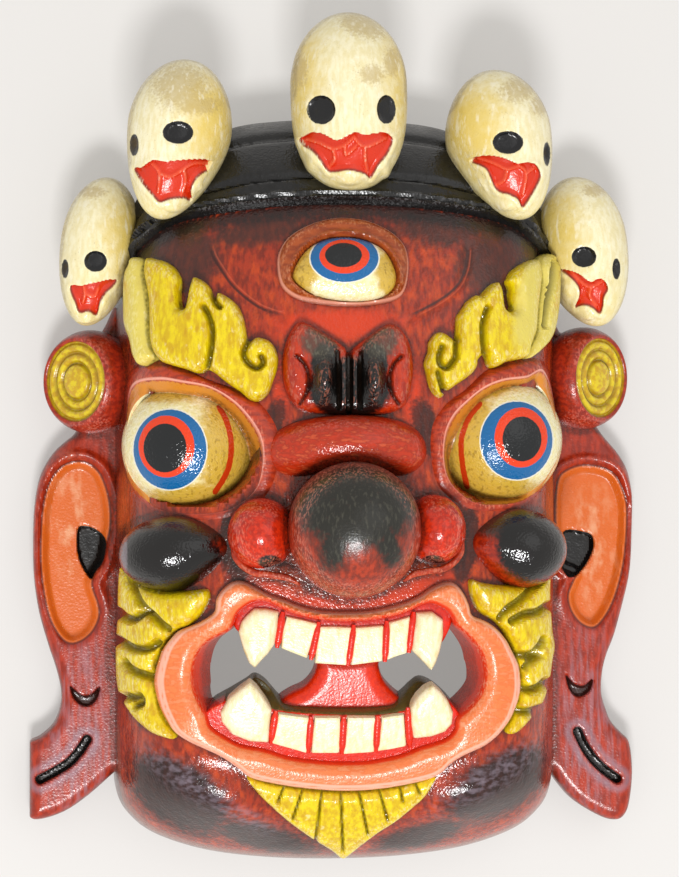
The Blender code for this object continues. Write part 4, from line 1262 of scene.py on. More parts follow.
def stud(place):
    """A drum with rings on its face, turned to look outwards."""
    profile = smooth(STUD_PROFILE, 3, False)
    radius, along = np.maximum(profile[:, :1], 0), profile[:, 1:]
    radius[[0, -1]] = 0.01
    angles = np.linspace(0, 2 * math.pi, STUD_SEGMENTS, endpoint=False)
    swirl = SWIRL_RISE * np.sin(angles) * np.exp(-(((radius - SWIRL_AT) / SWIRL_WIDTH) ** 2))
    points = np.stack([radius * np.cos(angles), radius * np.sin(angles), along + swirl], axis=-1)
    points = points.reshape(-1, 3)
    last = len(points) - STUD_SEGMENTS
    faces = [tuple(f) for f in ringed(len(profile), STUD_SEGMENTS)]
    faces += [tuple(range(STUD_SEGMENTS))[::-1], tuple(range(last, len(points)))]
    x, y, z, turn = place
    facts = {"radius": np.repeat(radius, STUD_SEGMENTS), "along": np.repeat(along, STUD_SEGMENTS)}
    return points @ turned((0, turn, 0)) + (x, y, z), faces, {**nowhere(len(points)), **facts}


ear_parts.update({f"stud_{side}": stud(place) for side, place in STUDS.items()})
print("rows in a stud's profile:", len(STUD_PROFILE))

# %% [markdown]
# ## The five skulls
# Each skull is an egg with its narrow end down. Its sockets are shallow dishes and its mouth is
# a wide grin cut in a few strokes. We read both off the photograph: a point of the egg belongs
# to the mouth if the camera sees it inside the mouth's outline.

# %% Places, sizes and faces of the skulls
SKULLS = {
    "skull_1": {
        "place": (-92.6, 79.1, 31.0), "size": (14.6, 59.5, 15.0), "turn": (-14, -32, -3), "jaw": 1.9,
        "sockets": ((95.5, 261.5, 11.5, 10.5), (65, 269, 3.5, 9.5)),
        "mouth": (
            (70, 287), (74, 285), (81, 286), (90, 284), (100, 282), (109, 280), (117, 281), (112, 288),
            (104, 295), (100, 303), (98, 312), (96, 316), (88, 312), (79, 313), (75, 303), (71, 294),
        ),
        "lines": (
            ((82, 287), (84, 297), (82, 306)), ((84, 297), (94, 300), (98, 292)),
        ),
        "rubbed": ((92, 192, 18, 8, 0),),
        "bulges": ((106, 302, 9, 13), (86, 319, 12, 6)),
    },
    "skull_2": {
        "place": (-63.2, 120.5, 54.0), "size": (19.2, 63.6, 19.0), "turn": (-16, -36, -3), "jaw": 1.5,
        "sockets": ((178, 132.5, 15.5, 11.5), (134, 145, 4.5, 11)),
        "mouth": (
            (134, 169), (141, 168), (148, 163), (155, 160), (164, 162), (176, 161), (190, 160), (205, 160),
            (213, 163), (217, 169), (208, 172), (200, 176), (194, 183), (191, 192), (192, 203), (184, 199),
            (170, 200), (160, 203), (155, 199), (148, 191), (141, 182),
        ),
        "lines": (
            ((150, 166), (158, 176), (157, 196)), ((158, 176), (170, 180), (184, 172)),
            ((184, 172), (186, 185), (182, 198)), ((184, 172), (196, 166), (212, 167)),
        ),
        "rubbed": ((180, 86, 36, 30, 8), (198, 105, 28, 12, 0)),
        "bulges": ((202, 187, 9, 12), (174, 207, 15, 7)),
    },
    "skull_3": {
        "place": (1.8, 136.1, 54.5), "size": (22.3, 69.8, 22.0), "turn": (-10, 0, 0), "jaw": 3.0,
        "sockets": ((321, 110, 14.5, 14.5), (386.5, 109.5, 9.5, 14.5)),
        "mouth": (
            (299, 140), (305, 136), (313, 133), (322, 134), (330, 138), (337, 141), (346, 137), (355, 133),
            (365, 135), (375, 134), (385, 133), (393, 139), (391, 148), (386, 157), (380, 164), (374, 174),
            (370, 179), (365, 175), (350, 171), (335, 173), (328, 172), (322, 164), (314, 153), (304, 147),
        ),
        "lines": (
            ((303, 142), (318, 146), (332, 152), (345, 148), (354, 140)), ((332, 152), (334, 163), (329, 170)),
            ((354, 140), (366, 150), (388, 141)), ((366, 150), (366, 162), (368, 176)),
            ((345, 148), (346, 158), (356, 150)),
        ),
        "rubbed": ((362, 25, 30, 15, 20), (300, 70, 10, 22, 0), (392, 62, 10, 18, 0), (372, 74, 16, 12, 0)),
        "bulges": ((311, 163, 9, 14), (386, 170, 7, 13), (349, 180, 16, 7)),
    },
    "skull_4": {
        "place": (60.6, 119.2, 54.0), "size": (19.2, 60.0, 19.0), "turn": (-16, 36, 4), "jaw": 1.5,
        "sockets": ((508, 142.5, 15.5, 11.5), (547, 154, 3.5, 12)),
        "mouth": (
            (467, 161), (478, 157), (490, 156), (502, 158), (510, 161), (518, 164), (528, 163), (536, 165),
            (541, 175), (538, 185), (531, 197), (523, 208), (518, 200), (509, 195), (500, 193), (494, 187),
            (490, 177), (484, 168),
        ),
        "lines": (
            ((476, 160), (494, 166), (508, 172), (520, 168)), ((508, 172), (504, 184), (496, 188)),
            ((520, 168), (528, 176), (524, 198)), ((528, 176), (537, 170)),
        ),
        "rubbed": ((520, 88, 26, 16, -20), (540, 105, 12, 14, 0)),
        "bulges": ((477, 190, 13, 18), (506, 205, 15, 8)),
    },
    "skull_5": {
        "place": (96.2, 80.2, 31.0), "size": (17.2, 60.5, 17.0), "turn": (-14, 28, 3), "jaw": 1.9,
        "sockets": ((584, 257, 12.5, 10.5), (616.5, 269, 4, 10.5)),
        "mouth": (
            (560, 270), (570, 271), (580, 275), (590, 282), (600, 279), (606, 283), (608, 290), (604, 298),
            (603, 307), (600, 314), (592, 308), (583, 306), (575, 308), (579, 298), (579, 289), (572, 279),
        ),
        "lines": (
            ((570, 273), (582, 286), (592, 290), (604, 284)), ((592, 290), (590, 300), (597, 309)),
        ),
        "rubbed": ((596, 190, 16, 8, 0),),
        "bulges": ((568, 290, 9, 16), (588, 315, 12, 7)),
    },
}
BACK_BULGE = 0.34
BULGE_RISE = 1.3
CROWN_SHARE = 0.41
FRONT_CROWD = 0.62
MOST_SQUARE = 1.22
SOCKET_DISH, DISH_WALL = 1.7, 1.6
MOUTH_CUT, MOUTH_EDGE = 2.4, 1.1
RIDGE_RISE, RIDGE_WIDTH = 1.3, 0.75
RIM_RISE, RIM_AT, RIM_WIDTH = 0.45, 0.9, 0.8


def skull_shape(unit, jaw):
    """A ball turned into an egg, with more of its points in front and a full back of the head."""
    azimuth = np.arctan2(unit[:, 0], unit[:, 2])
    azimuth = azimuth - FRONT_CROWD * np.sin(azimuth)
    low = np.clip(-unit[:, 1], 0, 1)
    girth = np.sqrt(np.maximum(1 - unit[:, 1] ** 2, 0))
    squarer = np.sqrt(np.maximum(1 - low**jaw, 1e-7) / np.maximum(1 - low**2, 1e-6))
    girth = girth * np.where(low > 0, np.minimum(squarer, MOST_SQUARE), 1)
    bulge = 1 + BACK_BULGE * np.clip(-np.cos(azimuth), 0, 1) * (1 - unit[:, 1] ** 2)
    y = np.where(unit[:, 1] > 0, unit[:, 1] * CROWN_SHARE, unit[:, 1] * (1 - CROWN_SHARE))
    return np.column_stack([girth * np.sin(azimuth), y, girth * bulge * np.cos(azimuth)])


def oval_seen(seen, x, y, wide, high, turn=0.0):
    """How far points in the picture are from the middle of an oval, as a share of its radius."""
    return ellipse_distance(seen[:, 0], seen[:, 1], (x, y), (wide, high), turn)


def skull(marks):
    """One skull, cut where the photograph shows it cut."""
    points, faces = globe(
        marks["place"], marks["size"], marks["turn"], 200, 130, lambda unit: skull_shape(unit, marks["jaw"])
    )
    out = points - np.array(marks["place"])
    out /= np.linalg.norm(out, axis=1)[:, None]
    seen = seen_at(points)
    front = turned(marks["turn"])[2]
    facing = (out @ front > -0.15) & (out[:, 2] > -0.1)
    mouth = np.where(facing, inside_seen(seen, marks["mouth"]), -FAR)
    sockets = [(1 - oval_seen(seen, *oval)) * min(oval[2:]) / PIXELS_A_MM for oval in marks["sockets"]]
    socket = np.where(facing, np.max(sockets, axis=0), -FAR)
    ridge = np.min([line_seen(seen, line) for line in marks["lines"]], axis=0)
    ridges = RIDGE_RISE * (mouth > 0) * np.exp(-((ridge / RIDGE_WIDTH) ** 2)) * ease(mouth / 1.2)
    rim = RIM_RISE * np.exp(-(((mouth + RIM_AT) / RIM_WIDTH) ** 2))
    cut = MOUTH_CUT * ease((mouth + 0.25) / MOUTH_EDGE) - ridges - rim
    cut = cut + SOCKET_DISH * ease((socket + 0.2) / DISH_WALL)
    for oval in marks["bulges"]:
        cut = cut - BULGE_RISE * (1 - ease(oval_seen(seen, *oval))) * facing * (mouth < 0.2)
    rubbed = np.max([1 - oval_seen(seen, *oval) for oval in marks["rubbed"]], axis=0)
    facts = {
        "mouth": mouth, "socket": socket, "rubbed": np.maximum(rubbed, -1), "groove": FAR, "inside": FAR,
        # how far the skull turns its side away, for a yellower painted shade there
        "ridge": np.where(mouth > 0, ridge, FAR), "side_shade": np.abs(out @ np.cross(front, (0, 1.0, 0))),
        "low": -out[:, 1],
    }
    return points - out * cut[:, None], faces, facts


skull_parts = {name: skull(marks) for name, marks in SKULLS.items()}
print("skull points:", sum(len(part[0]) for part in skull_parts.values()))

# %% [markdown]
# ## Where each colour goes
# The paint is not printed on: we store numbers on the points of each piece, such as how many
# millimetres inside the iris a point lies, and let the material turn them into a painted edge.
# The edge stays sharp however close we look, and it wobbles a little, as a brush line does.

# %% Rings and strokes of the eyes, read off the photograph


def patch(seen, *spots):
    """0 to 1: how much of a soft-edged patch covers each point.

    A spot is x, y, width, height, turn and softness.
    """
    away = [(oval_seen(seen, *spot[:5]), spot[5]) for spot in spots]
    return np.max([ease((1 + soft - distance) / (2 * soft)) for distance, soft in away], axis=0)


def ring_depth(seen, x, y, wide, high):
    """Millimetres inside an ellipse in the picture."""
    return (1 - oval_seen(seen, x, y, wide, high)) * (wide + high) / 2 / PIXELS_A_MM


IRISES = {
    "eye_left": ((170, 449.5, 36.5, 40), (166.5, 446.5, 28, 31), (165, 448, 21.5, 24.5)),
    "eye_right": ((516.5, 440.5, 36, 39), (521, 437.5, 26.5, 30), (522, 439, 19.5, 22.5)),
    "third_eye": ((344.5, 258, 34, 24), (344.5, 256.5, 25, 17), (343.5, 255, 18.5, 12.2)),
}
STROKE_HALF_WIDTH = 1.05
RED_STROKES = {
    "eye_left": ((219, 407), (226, 420), (231, 440), (230, 462), (224, 478), (215, 492)),
    "eye_right": ((480, 404), (470, 416), (463, 432), (461, 448), (463, 468), (467, 487)),
}
EYE_OCHRE = {
    "eye_left": ((236, 450, 36, 66, 0, 0.5), (200, 500, 50, 16, 0, 0.6), (150, 392, 50, 10, 0, 0.6)),
    "eye_right": ((460, 445, 36, 66, 0, 0.5), (490, 490, 48, 16, 0, 0.6), (480, 392, 40, 10, -20, 0.6)),
    "third_eye": ((303, 272, 14, 26, 20, 0.5), (390, 275, 12, 24, -10, 0.5)),
}


def eye_facts(name, seen):
    """Iris, pupil, red stroke and shading of one eyeball."""
    facts = {key: ring_depth(seen, *ring) for key, ring in zip(("blue", "red", "pupil"), IRISES[name])}
    facts["stroke"] = -FAR
    if name in RED_STROKES:
        facts["stroke"] = STROKE_HALF_WIDTH - line_seen(seen, RED_STROKES[name])
    return {**facts, "ochre": patch(seen, *EYE_OCHRE[name])}


print("painted eyes:", len(IRISES))

# %% Soft patches of paint on the other pieces, read off the photograph; some of them are painted shade and painted highlight
PATCHES = {
    "mask_face": {
        # painted shade in the creases between the frown, lids, wings and cheeks
        "shade_between_forms": (
            (428, 430, 14, 34, -20, 0.8), (270, 430, 12, 34, 20, 0.8), (345, 422, 50, 5, 0, 1.0),
            (228, 540, 9, 34, 0, 0.8), (470, 535, 9, 34, 0, 0.8), (238, 570, 10, 14, 0, 0.9),
            (462, 568, 10, 14, 0, 0.9),
        ),
        "smoke": (
            (505, 262, 52, 44, 20, 0.6), (178, 258, 46, 38, -20, 0.6), (262, 230, 60, 16, -8, 0.9),
            (440, 230, 60, 18, 8, 0.9),
        ),
        "jaw": (
            (178, 795, 62, 34, 32, 0.6), (265, 838, 60, 14, 14, 0.8), (500, 785, 62, 30, -30, 0.6),
            (420, 836, 50, 12, -14, 0.8),
        ),
        # a painted highlight band across each jowl
        "jaw_sheen": ((190, 782, 50, 12, 34, 0.9), (488, 776, 56, 14, -32, 0.9), (240, 815, 34, 8, 25, 0.9)),
        "bright": (
            (340, 325, 70, 16, 0, 0.8), (345, 604, 62, 9, 0, 0.8), (262, 585, 30, 8, 20, 0.9),
            (430, 583, 30, 8, -20, 0.9), (412, 395, 9, 34, 0, 0.8), (282, 385, 9, 30, 0, 0.8),
            (300, 605, 40, 10, 10, 1.0), (400, 600, 40, 10, -10, 1.0),
        ),
    },
    "cheek_left": {"black": ((165, 562, 62, 34, 0, 0.3),), "brown": ((175, 530, 55, 22, 0, 0.6),)},
    "cheek_right": {"black": ((532, 545, 36, 38, 0, 0.35),), "brown": ((505, 520, 45, 20, 10, 0.7),)},
    "nose_ball": {
        "black": ((357, 503, 66, 48, 0, 0.4), (335, 548, 16, 26, 15, 0.9), (388, 545, 14, 26, -15, 0.9)),
    },
    "frown": {
        "black": ((349.5, 388, 42, 32, 0, 0.3), (325, 360, 14, 20, 20, 0.5), (374, 360, 14, 20, -20, 0.5)),
        "fade": ((318, 342, 18, 16, 30, 0.6), (382, 342, 18, 16, -30, 0.6)),
    },
    # painted shade where the bridge meets the nose ball
    "bridge": {"shade_between_forms": ((345, 482, 60, 10, 0, 0.8),)},
    # a dark patch on each wing is painted shade for a nostril that is not carved
    "wing_left": {"nostril": ((270, 562, 12, 7, 0, 0.5),)},
    "wing_right": {"nostril": ((433, 562, 12, 7, 0, 0.5),)},
    "brow_right": {"pale": ((530, 300, 14, 50, 10, 0.5),)},
    # the second patch on each ear marks a painted highlight on its scoop
    "ear_left": {"lobe": ((80, 730, 34, 90, 0, 0.4),), "shine": ((72, 525, 20, 55, 0, 0.6),)},
    "ear_right": {"lobe": ((588, 720, 32, 90, 0, 0.4),), "shine": ((592, 545, 22, 55, 0, 0.6),)},
}
print("soft patches:", sum(len(spots) for facts in PATCHES.values() for spots in facts.values()))

# %% Paint that follows a piece's own shape
RIM_PAINT_FROM, RIM_PAINT_WIDTH = 0.965, 0.015
RIM_TOP_Y, RIM_FADE = -100.0, 20.0
# where the painted highlight on each cheek's outer end starts, and how wide it fades in
CHEEK_SHEEN_AT, CHEEK_SHEEN_WIDTH = 16.6, 2.4
UNDER_CROWN = 11.0
CROWN_SIDE_AT, CROWN_SIDE_WIDTH = 60.0, 20.0
# how wide the painted shade behind the lower teeth fades in
LEDGE_SHADE_WIDTH = 1.5


def face_facts_of(points, seen):
    """Where the face is black under its crown, brown at its rim and darkened inside its lips as painted shade.
    """
    x, y = points[:, 0], points[:, 1]
    x_share, y_share = shares(x, y)
    below = crown_line(np.clip(x_share, -1, 1))[:, 1] - y
    out = np.hypot(x_share, y_share) / edge_at(np.arctan2(y_share, x_share))
    return {
        "crown": ease((2 - below) / 4),
        "under_crown": ease(1 - below / UNDER_CROWN) * (below > 0),
        "rim": ease((out - RIM_PAINT_FROM) / RIM_PAINT_WIDTH) * ease((RIM_TOP_Y - y) / RIM_FADE),
        "shade_within_lips": inside_seen(seen, LIPS_OUTER),
    }


def with_paint(name, points, facts):
    """The facts of a piece with those that its place in the picture gives."""
    seen = seen_at(points)
    facts = {**facts, **{key: patch(seen, *spots) for key, spots in PATCHES.get(name, {}).items()}}
    if name in IRISES:
        facts.update(eye_facts(name, seen))
    if name == "mask_face":
        facts.update(face_facts_of(points, seen))
    if name in CHEEK_SIDES:
        # the cheek's grey band along its outer end is a painted highlight
        outward = CHEEK_SIDES[name] * (points[:, 0] - ROUND_FORMS[name][0][0])
        facts["rim"] = ease((outward - CHEEK_SHEEN_AT) / CHEEK_SHEEN_WIDTH)
    if name == "gum_lower":
        # a painted shade, olive dark, on the ledge that falls away behind the lower teeth
        facts["ledge_shade"] = ease(behind_teeth(points) / LEDGE_SHADE_WIDTH)
    if name == "crown":
        facts["side"] = ease((np.abs(points[:, 0]) - CROWN_SIDE_AT) / CROWN_SIDE_WIDTH)
    if name.endswith("outer"):
        facts["pale"] = 1.0
    return facts


# %% [markdown]
# ## All pieces as objects
# Every part becomes an object in the frame. The numbers for its paint go with it.

# %% Objects
all_parts = {
    "mask_face": (face_points, face_faces, face_facts), "crown": crown(),
    "frown": frown, "goatee": goatee, "lips": lips,
    **round_parts, **brow_parts, **third_parts, **beard_parts, **mouth_parts, **ear_parts, **skull_parts,
}
for name, (points, faces, facts) in all_parts.items():
    piece(name, points, faces, with_paint(name, points, facts))
triangles = [sum(len(face.vertices) - 2 for face in thing.data.polygons) for thing in PIECES]
print("pieces:", len(PIECES), "triangles:", sum(triangles), "most in one:", max(triangles))

# %% [markdown]
# ## Where the dark wash settles
# The antique wash is brushed on and wiped off again: it stays in the hollows and goes from the
# high edges. To know which is which we look straight down on the whole mask, note the height of
# the wood on a fine grid, and compare each point with the blurred height around it.

# %% Hollows and edges
LOOK_STEP = 0.7
LOOK_HALF = (125.0, 170.0)
LOOK_FROM = 0.2
WOOD_HEIGHT = 4.0
WASH_BLURS = {"crevice": 2.4, "hollow": 8.0}


def height_map():
    """The highest wood over each crossing of a fine grid, in millimetres."""
    graph = bpy.context.evaluated_depsgraph_get()
    columns, rows = (np.arange(-half, half, LOOK_STEP) for half in LOOK_HALF)
    heights = np.zeros((len(rows), len(columns)))
    for row, y in enumerate(rows):
        for column, x in enumerate(columns):
            hit, place, *_ = bpy.context.scene.ray_cast(graph, (x * MM, y * MM, LOOK_FROM), (0, 0, -1))
            if hit:
                heights[row, column] = place[2] / MM
    return heights


def blurred(grid, radius):
    """The grid smoothed over a radius in steps."""
    reach = int(3 * radius)
    weights = np.exp(-0.5 * (np.arange(-reach, reach + 1) / radius) ** 2)
    weights /= weights.sum()

    def smoothed(row):
        return np.convolve(np.pad(row, reach, "edge"), weights, "valid")

    return np.apply_along_axis(smoothed, 1, np.apply_along_axis(smoothed, 0, grid))


def sampled(grid, x, y):
    """The grid's value at places between its crossings."""
    column = np.clip((x + LOOK_HALF[0]) / LOOK_STEP, 0, grid.shape[1] - 1.001)
    row = np.clip((y + LOOK_HALF[1]) / LOOK_STEP, 0, grid.shape[0] - 1.001)
    c, r = column.astype(int), row.astype(int)
    fc, fr = column - c, row - r
    low = grid[r, c] * (1 - fc) + grid[r, c + 1] * fc
    high = grid[r + 1, c] * (1 - fc) + grid[r + 1, c + 1] * fc
    return low * (1 - fr) + high * fr


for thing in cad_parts.values():
    thing.hide_set(True)
bpy.context.view_layer.update()
seen_from_above = height_map()
wood = (seen_from_above > WOOD_HEIGHT).astype(float)
blurs = {}
for key, radius in WASH_BLURS.items():
    nearby = np.maximum(blurred(wood, radius / LOOK_STEP), 0.02)
    blurs[key] = blurred(seen_from_above * wood, radius / LOOK_STEP) / nearby
for thing in PIECES:
    points = np.empty(len(thing.data.vertices) * 3)
    thing.data.vertices.foreach_get("co", points)
    x, y, z = points.reshape(-1, 3).T / MM
    for key, grid in blurs.items():
        fact = thing.data.attributes.new(key, "FLOAT", "POINT")
        fact.data.foreach_set("value", (sampled(grid, x, y) - z).astype(np.float32))
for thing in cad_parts.values():
    thing.hide_set(False)
print("highest wood in mm:", round(float(seen_from_above.max()), 1))

# %% [markdown]
# ## Painted wood
# All the paints are one recipe: a base colour with faint brush streaks, coats of other colours
# where the numbers on the points say so, worn edges lightened also as a painted highlight, the dark
# wash in the hollows, fine speckles, and a clear semi-gloss lacquer on top whose small unevenness breaks up
# the highlights.

# %% Colours, and the one function that adds a node


def linear(code):
    """A hex colour as the linear light values that the renderer wants."""
    channels = [int(code[i : i + 2], 16) / 255 for i in (1, 3, 5)]
    return (*[c / 12.92 if c <= 0.04045 else ((c + 0.055) / 1.055) ** 2.4 for c in channels], 1.0)


def filled(made, inputs):
    """Sets a node's inputs, or links those that another node's output is given for."""
    for key, value in inputs.items():
        if isinstance(value, bpy.types.NodeSocket):
            made.id_data.links.new(value, made.inputs[key])
        else:
            made.inputs[key].default_value = value


def node(tree, kind, inputs, out=0, **settings):
    """Adds a node with its settings and links, and gives one of its outputs."""
    made = tree.nodes.new("ShaderNode" + kind)
    for key, value in settings.items():
        setattr(made, key, value)
    filled(made, inputs)
    return made.outputs[out]


print("mid grey in linear light:", round(linear("#808080")[0], 3))

# %% The recipe for painted wood
WASH_BROWN = "#1B120C"
LACQUER_IOR, LACQUER_ROUGHNESS = 1.48, 0.14
FINE_GRAIN_MM, BROAD_GRAIN_MM = 0.9, 3.2
GRAIN_DEPTH_MM, GRAIN_STRENGTH = 0.3, 0.6
EVEN, DOWN, ACROSS = (1.0, 1.0, 1.0), (1.0, 0.3, 1.0), (0.3, 1.0, 1.0)


class Painter:
    """Builds one painted-wood material, coat by coat."""

    def __init__(self, name, base, streak, way=EVEN):
        self.material = bpy.data.materials.new(name)
        self.material.use_nodes = True
        self.tree = self.material.node_tree
        self.place = node(self.tree, "TexCoord", {}, "Object")
        self.colour = linear(base)
        self.lay(streak, self.mottled(1.6, 0.36, 0.64, way, 4.0))

    def noise(self, size_mm, way=EVEN, detail=2.0):
        """A noise with features of about this size, drawn out along the axes with small numbers."""
        place = node(self.tree, "Mapping", {"Vector": self.place, "Scale": way})
        return node(self.tree, "TexNoise", {"Vector": place, "Scale": 1 / (size_mm * MM), "Detail": detail})

    def mottled(self, size_mm, low, high, way=EVEN, detail=2.0):
        """0 to 1, in soft patches of about this size."""
        inputs = {"Value": self.noise(size_mm, way, detail), "From Min": low, "From Max": high}
        return node(self.tree, "MapRange", inputs, interpolation_type="SMOOTHSTEP")

    def painted(self, fact, low, high, wobble=0.0, size_mm=1.5, about=None):
        """0 to 1 as a number on the points goes from low to high, with an edge as a brush leaves it."""
        value = node(self.tree, "Attribute", {}, "Fac", attribute_name=fact)
        if about is not None:
            value = node(self.tree, "Math", {0: value, 1: about}, operation="SUBTRACT")
            value = node(self.tree, "Math", {0: value}, operation="ABSOLUTE")
        if wobble:
            noise = node(self.tree, "Math", {0: self.noise(size_mm, detail=3.0), 1: -0.5})
            value = node(self.tree, "Math", {0: noise, 1: wobble, 2: value}, operation="MULTIPLY_ADD")
        inputs = {"Value": value, "From Min": low, "From Max": high}
        return node(self.tree, "MapRange", inputs, interpolation_type="SMOOTHSTEP")

    def lay(self, colour, cover, strength=1.0, where=None):
        """Lays a colour over the paint so far, all over or only where a number on the points is high."""
        cover = node(self.tree, "Math", {0: cover, 1: strength}, operation="MULTIPLY")
        if where:
            only = node(self.tree, "Attribute", {}, "Fac", attribute_name=where)
            cover = node(self.tree, "Math", {0: cover, 1: only}, operation="MULTIPLY")
        colour = linear(colour) if isinstance(colour, str) else colour
        self.colour = node(self.tree, "Mix", {0: cover, 6: self.colour, 7: colour}, 2, data_type="RGBA")
        return self

    def coat(self, fact, colour, low=0.3, high=0.7, wobble=0.35, size_mm=1.5, strength=1.0):
        """Another colour where a number on the points is high."""
        return self.lay(colour, self.painted(fact, low, high, wobble, size_mm), strength)

    def edge(self, fact, colour, at=0.0, width=0.12):
        """A sharp painted edge at a distance in millimetres."""
        return self.coat(fact, colour, at - width, at + width, 0.35, 1.2)

    def line(self, fact, colour, at, width, strength=1.0, soft=0.15, where=None):
        """A thin painted line at a distance in millimetres."""
        return self.lay(colour, self.painted(fact, width + soft, width - soft, about=at), strength, where)

    def streaks(self, colour, size_mm, way, low=0.5, high=0.62, strength=0.6, where=None):
        """Strokes of a dry brush."""
        return self.lay(colour, self.mottled(size_mm, low, high, way, 4.0), strength, where)

    def specks(self, colour, share=0.66, size_mm=0.5, strength=0.6):
        """Small flecks, in some places and not in others."""
        flecks = {0: self.mottled(size_mm, share, share + 0.04), 1: self.mottled(7.0, 0.45, 0.6)}
        return self.lay(colour, node(self.tree, "Math", flecks, operation="MULTIPLY"), strength)

    def worn_and_sheen(self, colour):
        """Wear on the edges, where they stand above the wood around them, lightened also as a painted
        highlight.
        """
        # the lighter colour on the high edges is worn paint and also a painted highlight
        high, rubbed = self.painted("crevice", -0.45, -1.5), self.mottled(0.8, 0.5, 0.6, (1.0, 0.35, 1.0), 4.0)
        return self.lay(colour, node(self.tree, "Math", {0: high, 1: rubbed}, operation="MULTIPLY"), 0.4)

    def washed(self, colour, strength, reach):
        """The dark wash that stays in grooves, crevices and deep hollows."""
        patchy = {0: self.noise(1.3, detail=4.0), 1: 1.7, 2: -0.15}
        patchy = node(self.tree, "Math", patchy, operation="MULTIPLY_ADD")
        cover = node(self.tree, "Math", {0: self.painted("crevice", *reach), 1: patchy}, operation="MULTIPLY")
        deep = node(self.tree, "Math", {0: self.painted("hollow", 5.0, 14.0), 1: 0.22}, operation="MULTIPLY")
        for other in (self.painted("groove", 0.8, 0.2), deep):
            cover = node(self.tree, "Math", {0: cover, 1: other}, operation="MAXIMUM")
        return self.lay(colour, cover, strength)

    def finish(
        self, wash=0.8, wear_and_sheen=None, gloss=0.3, coat=0.2, grain=0.6, wash_colour=WASH_BROWN, reach=(0.5, 2.2)
    ):
        """Wear with a painted highlight on the edges, and wash, then the lacquer over the brushed grain."""
        if wear_and_sheen:
            self.worn_and_sheen(wear_and_sheen)
        self.washed(wash_colour, wash, reach)
        rough = {0: self.noise(2.2, detail=4.0), 1: 0.2, 2: gloss - 0.1}
        rough = node(self.tree, "Math", rough, operation="MULTIPLY_ADD")
        fine = self.noise(FINE_GRAIN_MM, detail=1.0)
        broad = self.noise(BROAD_GRAIN_MM, (1.0, 0.45, 1.0), 3.0)
        broad = node(self.tree, "Math", {0: broad, 1: 0.9}, operation="MULTIPLY")
        height = node(self.tree, "Math", {0: fine, 1: grain, 2: broad}, operation="MULTIPLY_ADD")
        bump = {"Height": height, "Strength": GRAIN_STRENGTH, "Distance": GRAIN_DEPTH_MM * MM}
        uneven = node(self.tree, "Bump", bump)
        lacquer = {"Base Color": self.colour, "Roughness": rough, "IOR": LACQUER_IOR, "Normal": uneven}
        clear = {"Coat Weight": coat, "Coat Roughness": LACQUER_ROUGHNESS, "Coat Normal": uneven}
        filled(self.tree.nodes["Principled BSDF"], {**lacquer, **clear})
        print(self.material.name, "nodes:", len(self.tree.nodes))


# %% [markdown]
# ## The paints of this mask
# The reds, yellows and creams are all mixed warm and are never one flat colour. Blacks are
# brushed thinly, so a little of the red below shows at their edges. The base colours are deeper
# than what the eye sees, because the lacquer adds a thin veil of reflected room light.

# %% The red of the face
face_red = Painter("red_lacquer_brushed", "#A03012", "#76210E", DOWN)
face_red.streaks("#C8480F", 2.6, (1.0, 0.4, 1.0), 0.45, 0.7, 0.65)
face_red.coat("bright", "#D0380A", 0.2, 0.9, 0.7, 3.0, 0.9)
face_red.coat("smoke", "#36201A", 0.2, 0.9, 0.8, 3.0, 0.85)
# painted shade in the creases between the forms
face_red.coat("shade_between_forms", "#1E0F0B", wobble=0.6, strength=0.85)
face_red.coat("under_crown", "#141110", 0.1, 0.8, strength=0.9)
face_red.coat("jaw", "#120D0D", 0.2, 0.85, 0.6, 3.0, 0.94)
# violet-grey streaks on the jowls are a painted highlight
face_red.streaks("#8C7F8C", 1.8, (0.5, 1.0, 1.0), 0.36, 0.72, 0.55, "jaw_sheen")
face_red.coat("rim", "#8A5340", strength=0.7)
face_red.line("arc", "#340F0A", 0.0, 0.5, 0.85, 0.3, "arc_here")
# the pale line on one side of each arc is a painted highlight on the groove's wall
face_red.line("arc", "#DC6442", 1.2, 0.2, 0.4, 0.3, "arc_here")
# painted shade in the recess inside the lips
face_red.coat("shade_within_lips", "#180B08", 0.5, 3.0)
face_red.coat("crown", "#0E0E0E")
face_red.coat("back", "#B08A5C", 0.45, 0.55, 0.0)
face_red.specks("#E0946A", 0.70, 0.4, 0.3)
face_red.finish(wear_and_sheen="#DE6038", gloss=0.2, grain=0.9, reach=(0.8, 3.0))

# %% Lips, lids and the inside of the mouth
lip_red = Painter("lip_vermilion_brushed", "#E67A42", "#D46630", ACROSS)
lip_red.streaks("#EE9C6C", 1.6, ACROSS, 0.5, 0.62, 0.5)
# the pale pink line near the lips' outer edge is a painted highlight on their rounded rim
lip_red.line("outer", "#F2B29C", 0.7, 0.5, 0.85, 0.35).line("inner", "#E02C04", 0.5, 1.0, 0.9, 0.5)
lip_red.finish(wear_and_sheen="#F0B08E", wash=0.5)

lid_red = Painter("lid_red_brushed", "#B83A18", "#902812", ACROSS)
lid_red.coat("across", "#D08428", 1.06, 1.18, 0.3).coat("across", "#E9DFB0", 1.66, 1.7, 0.02)
# the pink line along the lid's rim is a painted highlight
lid_red.line("across", "#EDA694", 1.0, 0.06, 0.95, 0.04, "proud")
lid_red.finish(wear_and_sheen="#E58A6A", wash=0.75, grain=0.6)
third_lid = Painter("third_lid_brown_brushed", "#A64C1C", "#8A3812", ACROSS)
# the pale pink line just inside the third lid's outline is a painted highlight on its rounded edge
third_lid.line("inside", "#E8A68E", 0.5, 0.4, 0.85, 0.3).finish(wear_and_sheen="#E09A6C", wash=0.7, grain=0.6)
